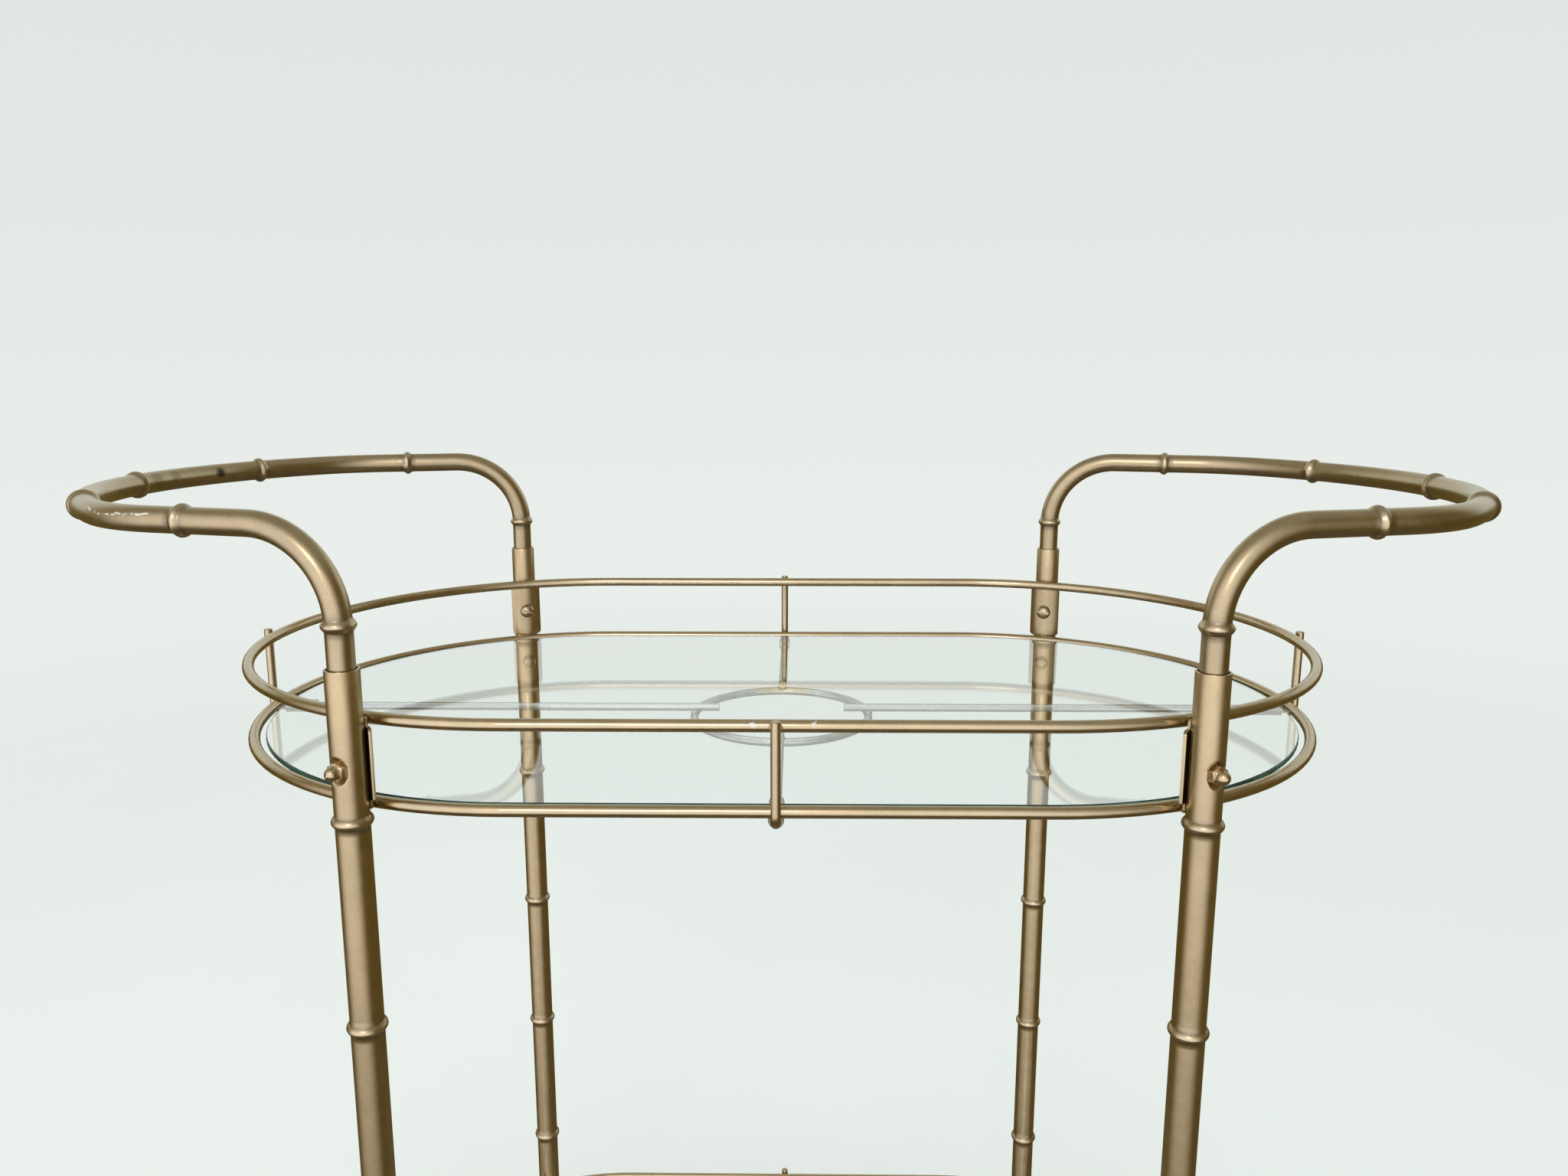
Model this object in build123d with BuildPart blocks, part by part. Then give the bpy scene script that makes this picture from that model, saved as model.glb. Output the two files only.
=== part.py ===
"""A two-shelf serving cart of beaded metal tube, with glass shelves, loop handles and four swivel casters.

Millimetres. +X runs along the cart, +Y from its front to its back and +Z up. The origin is on the
floor, under the middle of the cart.
"""
from build123d import *

import os
from math import acos, asin, atan2, cos, degrees, hypot, pi, sin

os.makedirs("parts", exist_ok=True)

# Tubes and rods
LEG_OD = 16.0
LEG_WALL = 1.6
HANDLE_OD = 12.7
HANDLE_WALL = 1.2
RAIL_DIA = 6.0
POST_DIA = 4.8
TOUCH = 0.02  # left between faces that rest on or are welded to each other

# Shelf plan: a stadium, two straights joined by half circles, measured on the rail's centreline
RAIL_END_RADIUS = 178.4
RAIL_HALF_STRAIGHT = 127.3
RAIL_SPACING = 41.3

# Heights above the floor
BOTTOM_SHELF_RAIL_Z = 151.0  # upper rail of the bottom shelf
SHELF_SPACING = 505.0
LEG_BOTTOM_Z = 62.0
LEG_TOP_RISE = 26.2  # leg's open top above the top shelf's upper rail
HANDLE_RISE = 91.0  # middle of the handle tube above the same rail

# Beads rolled into the legs and handles like the nodes of a cane
BEAD_PITCH = 104.3
FIRST_BEAD_DROP = 46.4  # top bead of a leg below the top shelf's upper rail
LEG_BEAD_COUNT = 6
HANDLE_BEADS_EACH_SIDE = 3
BEAD_HEIGHT = 1.65
BEAD_HALF_WIDTH = 2.9
BEAD_FOOT_RADIUS = 0.8
BEAD_BURY = 0.05  # of a handle bead's foot below the tube's surface
LEG_RIM_RADIUS = 0.5

# Handle plan: straights leaning in from the legs, corners, and a flatter arc round the end
HANDLE_REACH = 382.3
HANDLE_END_RADIUS = 188.5
HANDLE_END_LENGTH = 142.2  # of the end arc, from the loop's middle to the corner
HANDLE_CORNER_RADIUS = 88.6
HANDLE_BEND_RADIUS = 38.0
HANDLE_INSERT = 38.0

# Gallery posts, their arms under the glass and the ring that joins the arms
POST_TOP_RISE = 3.8
POST_TIP_RADIUS = 0.8
RING_RADIUS = 53.0
CROSS_ARM_END = 50.0  # from the cart's middle to the tip of the front and back arms
LONG_ARM_END = 38.0  # the left and right arms run on past the ring
PAD_OD = 7.6
PAD_LENGTH = 18.0
PAD_INSET = 2.7  # from the rail's centreline to the pad's outer end

# Glass shelves
GLASS_GAP = 3.0
GLASS_THICKNESS = 3.0
GLASS_EDGE_RADIUS = 0.8

# Saddle plates between the rails and the legs
SADDLE_THICKNESS = 1.5
SADDLE_RADIUS = 14.0
SADDLE_WIDTH = 20.7
SADDLE_TAB_WIDTH = 11.0
SADDLE_TAB_LAP = 1.8  # tab's end past the rail's centreline

# Bolt through saddle and leg, its acorn nut and the dent in the leg that the nut seats in
BOLT_DIA = 5.0
BOLT_HOLE_DIA = 5.4
SCREW_HEAD_DIA = 9.2
SCREW_HEAD_HEIGHT = 3.4
HEAD_ROOT = 1.0  # of the shank inside the head
SLOT_WIDTH = 1.3
SLOT_DEPTH = 1.6
NUT_FLATS = 8.0
NUT_HEX_HEIGHT = 4.0
NUT_DOME_DIA = 7.0
NUT_DOME_HEIGHT = 5.0
NUT_SEAT_DIA = 9.8  # of the dent's flat floor
NUT_SEAT_DEPTH = 2.6
DENT_DIA = 17.0  # where the dent's sloping side meets the crest of the tube
BOLT_END_ROOM = 2.0  # left between the bolt's end and the top of the dome
THREAD_ROOM = 0.04

# Caster: socket in the leg, stem, thrust washer, fork, axle, hub and tyre
SOCKET_FLANGE = 2.0
SOCKET_LENGTH = 38.0
SOCKET_FIT = 0.05
STEM_DIA = 8.0
STEM_LENGTH = 34.0
COLLAR_DIA = 16.0
COLLAR_THICKNESS = 3.0
KINGPIN_DIA = 7.0
KINGPIN_FIT = 0.1  # on the radius
THRUST_GAP = 0.3
WASHER_DIA = 15.0
WASHER_THICKNESS = 1.4
RIVET_DIA = 10.4
RIVET_HEIGHT = 2.2
FORK_PLATE = 2.5
FORK_SIDE = 2.0
FORK_INNER_WIDTH = 22.0
FORK_NOSE = 9.5
FORK_TAIL = 9.0  # of the top plate past the axle
FORK_BOSS_RADIUS = 7.0
FORK_CORNER_RADIUS = 3.0
CASTER_TRAIL = 20.0
WHEEL_DIA = 50.0
TYRE_WIDTH = 18.0
TYRE_EDGE_RADIUS = 4.5
HUB_DIA = 34.0
HUB_WIDTH = 16.0
HUB_BOSS_DIA = 13.0
HUB_BOSS_WIDTH = 21.2
HUB_POCKET_DIA = 28.0
HUB_POCKET_DEPTH = 4.0
HUB_RIB_COUNT = 5
HUB_RIB_WIDTH = 2.4
AXLE_DIA = 5.0
AXLE_FIT = 0.05  # on the radius
AXLE_HEAD_DIA = 9.0
AXLE_HEAD_HEIGHT = 2.0
AXLE_HEAD_ROUND = 0.8

# Derived sizes
LEG_RADIUS = LEG_OD / 2
LEG_BORE = LEG_OD - 2 * LEG_WALL
RAIL_RADIUS = RAIL_DIA / 2
POST_RADIUS = POST_DIA / 2
TOP_SHELF_RAIL_Z = BOTTOM_SHELF_RAIL_Z + SHELF_SPACING
LEG_TOP_Z = TOP_SHELF_RAIL_Z + LEG_TOP_RISE
HANDLE_Z = TOP_SHELF_RAIL_Z + HANDLE_RISE
SHELVES = {"top_shelf": TOP_SHELF_RAIL_Z, "bottom_shelf": BOTTOM_SHELF_RAIL_Z}

# Each leg stands off the rails by the saddle, on the line through the end arc's centre
LEG_ANGLE = 21.28  # of that line from the Y axis, in degrees
LEG_OFFSET = RAIL_END_RADIUS + RAIL_RADIUS + SADDLE_THICKNESS + LEG_RADIUS + 2 * TOUCH
NUT_SEAT = LEG_OFFSET + LEG_RADIUS - NUT_SEAT_DEPTH
BOLT_X = sin(LEG_ANGLE * pi / 180)
BOLT_Y = cos(LEG_ANGLE * pi / 180)
LEG_X = RAIL_HALF_STRAIGHT + LEG_OFFSET * BOLT_X
LEG_Y = LEG_OFFSET * BOLT_Y
CORNERS = {"front_left": (-1, -1), "front_right": (1, -1), "back_left": (-1, 1), "back_right": (1, 1)}

# Heights under one shelf, down from its upper rail
ARM_DROP = RAIL_SPACING + RAIL_RADIUS + POST_RADIUS + TOUCH
RING_DROP = ARM_DROP + POST_DIA + TOUCH
GLASS_DROP = ARM_DROP - PAD_OD / 2 - TOUCH
BOLT_DROP = RAIL_SPACING / 2

# Heights of one caster
COLLAR_Z = LEG_BOTTOM_Z - SOCKET_FLANGE
WASHER_Z = COLLAR_Z - COLLAR_THICKNESS - THRUST_GAP
FORK_Z = WASHER_Z - WASHER_THICKNESS
FORK_UNDER_Z = FORK_Z - FORK_PLATE
AXLE_Z = WHEEL_DIA / 2
FORK_OUTER_WIDTH = FORK_INNER_WIDTH + 2 * FORK_SIDE


def save(piece: BuildPart, name: str):
    """Label a finished piece and write its file."""
    piece.part.label = name
    export_step(piece.part, f"parts/{name}.step")


def stadium(radius: float):
    """Draw a closed stadium outline about the origin of the current line."""
    Line((-RAIL_HALF_STRAIGHT, -radius), (RAIL_HALF_STRAIGHT, -radius))
    ThreePointArc((RAIL_HALF_STRAIGHT, -radius), (RAIL_HALF_STRAIGHT + radius, 0), (RAIL_HALF_STRAIGHT, radius))
    Line((RAIL_HALF_STRAIGHT, radius), (-RAIL_HALF_STRAIGHT, radius))
    ThreePointArc((-RAIL_HALF_STRAIGHT, radius), (-RAIL_HALF_STRAIGHT - radius, 0), (-RAIL_HALF_STRAIGHT, -radius))


def bolt_plane(corner: tuple, height: float, distance: float) -> Plane:
    """A plane facing outward along a leg's bolt, at a distance from the end arc's centre."""
    side_x, side_y = corner
    outward = Vector(side_x * BOLT_X, side_y * BOLT_Y, 0)
    origin = Vector(side_x * RAIL_HALF_STRAIGHT, 0, height) + outward * distance
    return Plane(origin=origin, x_dir=(0, 0, 1), z_dir=outward)


# Legs: a tube with rolled beads, drilled for the bolts and dented inward where their nuts seat
for corner_name, corner in CORNERS.items():
    axis_x, axis_y = corner[0] * LEG_X, corner[1] * LEG_Y
    bead_heights = [TOP_SHELF_RAIL_Z - FIRST_BEAD_DROP - i * BEAD_PITCH for i in range(LEG_BEAD_COUNT)]
    with BuildPart() as bore:
        with BuildSketch(Plane((axis_x, axis_y, LEG_BOTTOM_Z))):
            Circle(LEG_BORE / 2)
        extrude(amount=LEG_TOP_Z - LEG_BOTTOM_Z)
        for rail_z in SHELVES.values():
            with BuildSketch(bolt_plane(corner, rail_z - BOLT_DROP, NUT_SEAT - LEG_WALL)):
                Circle(NUT_SEAT_DIA / 2 + 2 * LEG_WALL)
            extrude(amount=LEG_RADIUS, mode=Mode.SUBTRACT)
    with BuildPart() as leg:
        with BuildSketch(Plane((axis_x, axis_y, 0), x_dir=(1, 0, 0), z_dir=(0, -1, 0))) as leg_half:
            with BuildLine() as leg_outline:
                lowest = (LEG_RADIUS, LEG_BOTTOM_Z)
                for bead_z in sorted(bead_heights):
                    bead_foot = (LEG_RADIUS, bead_z - BEAD_HALF_WIDTH)
                    bead_neck = (LEG_RADIUS, bead_z + BEAD_HALF_WIDTH)
                    Line(lowest, bead_foot)
                    ThreePointArc(bead_foot, (LEG_RADIUS + BEAD_HEIGHT, bead_z), bead_neck)
                    lowest = bead_neck
                Polyline(lowest, (LEG_RADIUS, LEG_TOP_Z), (0, LEG_TOP_Z), (0, LEG_BOTTOM_Z),
                         (LEG_RADIUS, LEG_BOTTOM_Z))
            make_face()
            outer = leg_half.vertices().group_by(Axis.X)[-1]
            fillet(outer.sort_by(Axis.Y)[1:-1], BEAD_FOOT_RADIUS)
            fillet(leg_half.vertices().group_by(Axis.Y)[-1].sort_by(Axis.X)[-1], LEG_RIM_RADIUS)
        revolve(axis=Axis((axis_x, axis_y, 0), (0, 0, 1)))
        add(bore.part, mode=Mode.SUBTRACT)
        for rail_z in SHELVES.values():
            with BuildSketch(bolt_plane(corner, rail_z - BOLT_DROP, LEG_OFFSET)):
                Circle(BOLT_HOLE_DIA / 2)
            extrude(amount=LEG_OD, both=True, mode=Mode.SUBTRACT)
            with Locations(bolt_plane(corner, rail_z - BOLT_DROP, NUT_SEAT)):
                Cone(NUT_SEAT_DIA / 2, DENT_DIA / 2, NUT_SEAT_DEPTH, align=(Align.CENTER, Align.CENTER, Align.MIN),
                     mode=Mode.SUBTRACT)
    save(leg, f"leg_{corner_name}")

# Handles: a hollow loop of smaller tube that plugs into the tops of two legs
end_half_angle = HANDLE_END_LENGTH / HANDLE_END_RADIUS
end_centre_x = HANDLE_REACH - HANDLE_END_RADIUS
corner_x = end_centre_x + (HANDLE_END_RADIUS - HANDLE_CORNER_RADIUS) * cos(end_half_angle)
corner_y = (HANDLE_END_RADIUS - HANDLE_CORNER_RADIUS) * sin(end_half_angle)
leg_from_corner = hypot(LEG_X - corner_x, LEG_Y - corner_y)
lean = acos(HANDLE_CORNER_RADIUS / leg_from_corner) - atan2(corner_x - LEG_X, LEG_Y - corner_y)
corner_middle = (pi / 2 - lean + end_half_angle) / 2


def on_handle_corner(angle: float) -> tuple:
    """A plan point on the corner arc of the right handle's back half."""
    return (corner_x + HANDLE_CORNER_RADIUS * cos(angle), corner_y + HANDLE_CORNER_RADIUS * sin(angle))


def on_handle_end(angle: float) -> tuple:
    """A plan point on the end arc of the right handle's back half."""
    return (end_centre_x + HANDLE_END_RADIUS * cos(angle), HANDLE_END_RADIUS * sin(angle))


def handle_point(side: int, plan: tuple, height: float = HANDLE_Z) -> tuple:
    """Place a plan point of the right handle's back half on either handle."""
    return (side * plan[0], plan[1], height)


bend_start_z = HANDLE_Z - HANDLE_BEND_RADIUS
bend_slack = HANDLE_BEND_RADIUS * (1 - cos(pi / 4))
bend_end = (LEG_X + HANDLE_BEND_RADIUS * cos(lean), LEG_Y - HANDLE_BEND_RADIUS * sin(lean))
bend_middle = (LEG_X + bend_slack * cos(lean), LEG_Y - bend_slack * sin(lean))
run_end = on_handle_corner(pi / 2 - lean)
arc_end = on_handle_corner(end_half_angle)

bead_base = HANDLE_OD / 2 - BEAD_BURY
bead_inside = HANDLE_OD / 2 - HANDLE_WALL / 2
bead_reach = BEAD_HALF_WIDTH + BEAD_FOOT_RADIUS
bead_middle = BEAD_HALF_WIDTH + BEAD_FOOT_RADIUS / 2


def handle_bead_plane(wire: Wire, step: int) -> Plane:
    """A plane through the handle tube whose Y runs along it, some bead pitches before the loop's middle."""
    reach = 1 - step * BEAD_PITCH / wire.length
    along = wire % reach
    across = along.cross(Vector(0, 0, 1) if abs(along.Z) < cos(pi / 4) else Vector(0, 1, 0))
    return Plane(origin=wire @ reach, x_dir=across, z_dir=across.cross(along))


def handle_bead(bead_plane: Plane) -> Sketch:
    """Half section of a bead on the handle tube, with rounded feet."""
    with BuildSketch(bead_plane) as bead_half:
        with BuildLine():
            Polyline((bead_base, -BEAD_HALF_WIDTH), (bead_base, -bead_reach), (bead_inside, -bead_reach),
                     (bead_inside, bead_reach), (bead_base, bead_reach), (bead_base, BEAD_HALF_WIDTH))
            ThreePointArc((bead_base, BEAD_HALF_WIDTH), (HANDLE_OD / 2 + BEAD_HEIGHT, 0),
                          (bead_base, -BEAD_HALF_WIDTH))
        make_face()
        feet = bead_half.vertices().filter_by_position(Axis.Y, -bead_middle, bead_middle)
        fillet(feet, BEAD_FOOT_RADIUS)
    return bead_half.sketch


for handle_name, side in {"left": -1, "right": 1}.items():
    with BuildPart() as handle:
        with BuildLine() as half_loop:
            Line(handle_point(side, (LEG_X, LEG_Y), LEG_TOP_Z - HANDLE_INSERT),
                 handle_point(side, (LEG_X, LEG_Y), bend_start_z))
            ThreePointArc(handle_point(side, (LEG_X, LEG_Y), bend_start_z),
                          handle_point(side, bend_middle, HANDLE_Z - bend_slack), handle_point(side, bend_end))
            Line(handle_point(side, bend_end), handle_point(side, run_end))
            ThreePointArc(handle_point(side, run_end), handle_point(side, on_handle_corner(corner_middle)),
                          handle_point(side, arc_end))
            ThreePointArc(handle_point(side, arc_end), handle_point(side, on_handle_end(end_half_angle / 2)),
                          handle_point(side, on_handle_end(0)))
        half_wire = half_loop.wires()[0]
        with BuildSketch(Plane(origin=half_wire @ 0, z_dir=half_wire % 0)):
            Circle(HANDLE_OD / 2)
            Circle(HANDLE_OD / 2 - HANDLE_WALL, mode=Mode.SUBTRACT)
        sweep(path=half_wire)
        for step in range(1, HANDLE_BEADS_EACH_SIDE + 1):
            bead_plane = handle_bead_plane(half_wire, step)
            revolve(handle_bead(bead_plane), axis=Axis(bead_plane.origin, bead_plane.y_dir))
        mirror(about=Plane.XZ)
        bead_plane = handle_bead_plane(half_wire, 0)
        revolve(handle_bead(bead_plane), axis=Axis(bead_plane.origin, bead_plane.y_dir))
    save(handle, f"handle_{handle_name}")

# Shelves: the same pieces at two heights
for shelf_name, rail_z in SHELVES.items():
    # Two rails, each one rod bent to a stadium
    for rail_name, height in {"upper": rail_z, "lower": rail_z - RAIL_SPACING}.items():
        with BuildPart() as rail:
            with BuildLine(Plane.XY.offset(height)) as rail_path:
                stadium(RAIL_END_RADIUS)
            with BuildSketch(Plane((0, -RAIL_END_RADIUS, height), x_dir=(0, 1, 0), z_dir=(1, 0, 0))):
                Circle(RAIL_RADIUS)
            sweep(path=rail_path.wires()[0])
        save(rail, f"{shelf_name}_{rail_name}_rail")

    # Four rods: a post outside the rails, bent under the lower rail into an arm towards the centre
    arm_z = rail_z - ARM_DROP
    post_stand_off = RAIL_RADIUS + POST_RADIUS + TOUCH
    reach_x = RAIL_HALF_STRAIGHT + RAIL_END_RADIUS
    rods = {"front": ((0, -1, 0), RAIL_END_RADIUS, CROSS_ARM_END),
            "back": ((0, 1, 0), RAIL_END_RADIUS, CROSS_ARM_END),
            "left": ((-1, 0, 0), reach_x, LONG_ARM_END),
            "right": ((1, 0, 0), reach_x, LONG_ARM_END)}
    for rod_name, (direction, rail_reach, arm_end) in rods.items():
        outward = Vector(direction)
        side_plane = Plane(origin=(0, 0, arm_z), x_dir=outward, z_dir=outward.cross(Vector(0, 0, 1)))
        post_reach = rail_reach + post_stand_off
        with BuildPart() as post:
            with BuildLine(side_plane) as post_path:
                FilletPolyline((post_reach, ARM_DROP + POST_TOP_RISE), (post_reach, 0), (arm_end, 0),
                               radius=post_stand_off)
            with BuildSketch(Plane((0, 0, rail_z + POST_TOP_RISE)).move(Location(outward * post_reach))):
                Circle(POST_RADIUS)
            sweep(path=post_path.wires()[0])
            fillet(post.edges().sort_by(Axis.Z)[-1], POST_TIP_RADIUS)
        save(post, f"{shelf_name}_{rod_name}_post")

    # Ring under the inner ends of the four arms
    with BuildPart() as centre_ring:
        with BuildSketch(Plane.XZ):
            with Locations((RING_RADIUS, rail_z - RING_DROP)):
                Circle(POST_RADIUS)
        revolve(axis=Axis.Z)
    save(centre_ring, f"{shelf_name}_centre_ring")

    # Soft sleeves on the arms, which the glass rests on
    with BuildPart() as pads:
        for direction, rail_reach, _ in rods.values():
            outward = Vector(direction)
            pad_origin = outward * (rail_reach - PAD_INSET) + Vector(0, 0, arm_z)
            with BuildSketch(Plane(origin=pad_origin, z_dir=-outward)):
                Circle(PAD_OD / 2)
                Circle(POST_RADIUS + TOUCH, mode=Mode.SUBTRACT)
            extrude(amount=PAD_LENGTH)
    save(pads, f"{shelf_name}_glass_pads")

    # Glass inside the lower rail, with a ground edge
    with BuildPart() as glass:
        with BuildSketch(Plane.XY.offset(rail_z - GLASS_DROP)):
            with BuildLine():
                stadium(RAIL_END_RADIUS - RAIL_RADIUS - GLASS_GAP)
            make_face()
        extrude(amount=GLASS_THICKNESS)
        fillet(glass.faces().filter_by(Axis.Z).edges(), GLASS_EDGE_RADIUS)
    save(glass, f"{shelf_name}_glass")

    # Saddle plates: a strip of larger tube hollow towards the leg, with narrower tabs on the rails
    saddle_inside = RAIL_END_RADIUS + RAIL_RADIUS + TOUCH
    for corner_name, corner in CORNERS.items():
        side_x, side_y = corner
        outward = Vector(side_x * BOLT_X, side_y * BOLT_Y, 0)
        saddle_axis = Vector(side_x * RAIL_HALF_STRAIGHT, 0, 0) + outward * (saddle_inside + SADDLE_RADIUS)
        wide_bottom = rail_z - RAIL_SPACING + RAIL_RADIUS
        tab_bottom = rail_z - RAIL_SPACING - SADDLE_TAB_LAP
        bands = {SADDLE_WIDTH: (wide_bottom, RAIL_SPACING - RAIL_DIA),
                 SADDLE_TAB_WIDTH: (tab_bottom, RAIL_SPACING + 2 * SADDLE_TAB_LAP)}
        with BuildPart() as saddle:
            for width, (bottom, height) in bands.items():
                half_angle = asin(width / 2 / SADDLE_RADIUS)
                facing = Plane(origin=saddle_axis + Vector(0, 0, bottom), x_dir=-outward, z_dir=(0, 0, 1))
                with BuildSketch(facing):
                    with BuildLine():
                        rim = SADDLE_RADIUS - SADDLE_THICKNESS
                        outer_arc = CenterArc((0, 0), SADDLE_RADIUS, -degrees(half_angle), 2 * degrees(half_angle))
                        inner_arc = CenterArc((0, 0), rim, -degrees(half_angle), 2 * degrees(half_angle))
                        Line(outer_arc @ 0, inner_arc @ 0)
                        Line(outer_arc @ 1, inner_arc @ 1)
                    make_face()
                extrude(amount=height)
            with BuildSketch(bolt_plane(corner, rail_z - BOLT_DROP, saddle_inside)):
                Circle(BOLT_HOLE_DIA / 2)
            extrude(amount=SADDLE_RADIUS, both=True, mode=Mode.SUBTRACT)
        save(saddle, f"{shelf_name}_saddle_{corner_name}")

    # Slotted round-head screws, heads inside the saddles
    nut_seat = NUT_SEAT + TOUCH
    nut_top = nut_seat + NUT_HEX_HEIGHT + NUT_DOME_HEIGHT
    head_seat = saddle_inside - TOUCH
    with BuildPart() as screws:
        for corner in CORNERS.values():
            shank_plane = bolt_plane(corner, rail_z - BOLT_DROP, head_seat)
            with BuildSketch(shank_plane.offset(-HEAD_ROOT)):
                Circle(BOLT_DIA / 2)
            extrude(amount=nut_top - BOLT_END_ROOM - head_seat + HEAD_ROOT)
            with BuildSketch(Plane(shank_plane.origin, x_dir=shank_plane.x_dir, z_dir=shank_plane.y_dir)):
                with BuildLine():
                    EllipticalCenterArc((0, 0), SCREW_HEAD_DIA / 2, SCREW_HEAD_HEIGHT, 0, arc_size=90)
                    Polyline((0, SCREW_HEAD_HEIGHT), (0, 0), (SCREW_HEAD_DIA / 2, 0))
                make_face()
            revolve(axis=Axis(shank_plane.origin, shank_plane.z_dir))
            with BuildSketch(shank_plane.offset(SLOT_DEPTH - SCREW_HEAD_HEIGHT)):
                Rectangle(SLOT_WIDTH, 2 * SCREW_HEAD_DIA)
            extrude(amount=-SCREW_HEAD_HEIGHT, mode=Mode.SUBTRACT)
    save(screws, f"{shelf_name}_screws")

    # Acorn nuts outside the legs
    with BuildPart() as nuts:
        for corner in CORNERS.values():
            seat_plane = bolt_plane(corner, rail_z - BOLT_DROP, nut_seat)
            with BuildSketch(seat_plane):
                RegularPolygon(NUT_FLATS / 2, 6, major_radius=False)
            extrude(amount=NUT_HEX_HEIGHT)
            with BuildSketch(seat_plane.offset(NUT_HEX_HEIGHT)):
                Circle(NUT_DOME_DIA / 2)
            extrude(amount=NUT_DOME_HEIGHT - NUT_DOME_DIA / 2)
            with BuildSketch(Plane(seat_plane.offset(NUT_HEX_HEIGHT + NUT_DOME_HEIGHT - NUT_DOME_DIA / 2).origin,
                                   x_dir=seat_plane.x_dir, z_dir=-seat_plane.y_dir)):
                with BuildLine():
                    CenterArc((0, 0), NUT_DOME_DIA / 2, 0, 90)
                    Polyline((0, NUT_DOME_DIA / 2), (0, 0), (NUT_DOME_DIA / 2, 0))
                make_face()
            revolve(axis=Axis(seat_plane.origin, seat_plane.z_dir))
            with BuildSketch(seat_plane):
                Circle(BOLT_DIA / 2 + THREAD_ROOM)
            extrude(amount=nut_top - BOLT_END_ROOM - nut_seat + THREAD_ROOM, mode=Mode.SUBTRACT)
    save(nuts, f"{shelf_name}_acorn_nuts")

# Caster sockets: a flanged sleeve pressed into each leg's open lower end
leg_axes = [(side_x * LEG_X, side_y * LEG_Y) for side_x, side_y in CORNERS.values()]
with BuildPart() as sockets:
    with BuildSketch(Plane.XY.offset(COLLAR_Z)):
        with Locations(*leg_axes):
            Circle(LEG_RADIUS)
    extrude(amount=SOCKET_FLANGE - TOUCH)
    with BuildSketch(Plane.XY.offset(COLLAR_Z)):
        with Locations(*leg_axes):
            Circle(LEG_BORE / 2 - TOUCH)
    extrude(amount=SOCKET_LENGTH)
    with BuildSketch(Plane.XY.offset(COLLAR_Z)):
        with Locations(*leg_axes):
            Circle(STEM_DIA / 2 + SOCKET_FIT)
    extrude(amount=SOCKET_LENGTH, mode=Mode.SUBTRACT)
save(sockets, "caster_sockets")

# Caster stems: pushed into the sockets, each with a collar, a kingpin and a riveted end
with BuildPart() as stems:
    for axis_x, axis_y in leg_axes:
        with BuildSketch(Plane((axis_x, axis_y, 0), x_dir=(1, 0, 0), z_dir=(0, -1, 0))):
            with BuildLine():
                collar_top = COLLAR_Z - TOUCH
                rivet_top = FORK_UNDER_Z - THRUST_GAP
                Polyline((0, collar_top + STEM_LENGTH), (STEM_DIA / 2, collar_top + STEM_LENGTH),
                         (STEM_DIA / 2, collar_top), (COLLAR_DIA / 2, collar_top),
                         (COLLAR_DIA / 2, COLLAR_Z - COLLAR_THICKNESS),
                         (KINGPIN_DIA / 2, COLLAR_Z - COLLAR_THICKNESS), (KINGPIN_DIA / 2, rivet_top),
                         (RIVET_DIA / 2, rivet_top))
                rivet_dome = EllipticalCenterArc((0, rivet_top), RIVET_DIA / 2, RIVET_HEIGHT, -90, arc_size=90)
                Line(rivet_dome @ 0, (0, collar_top + STEM_LENGTH))
            make_face()
        revolve(axis=Axis((axis_x, axis_y, 0), (0, 0, 1)))
save(stems, "caster_stems")

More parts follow.
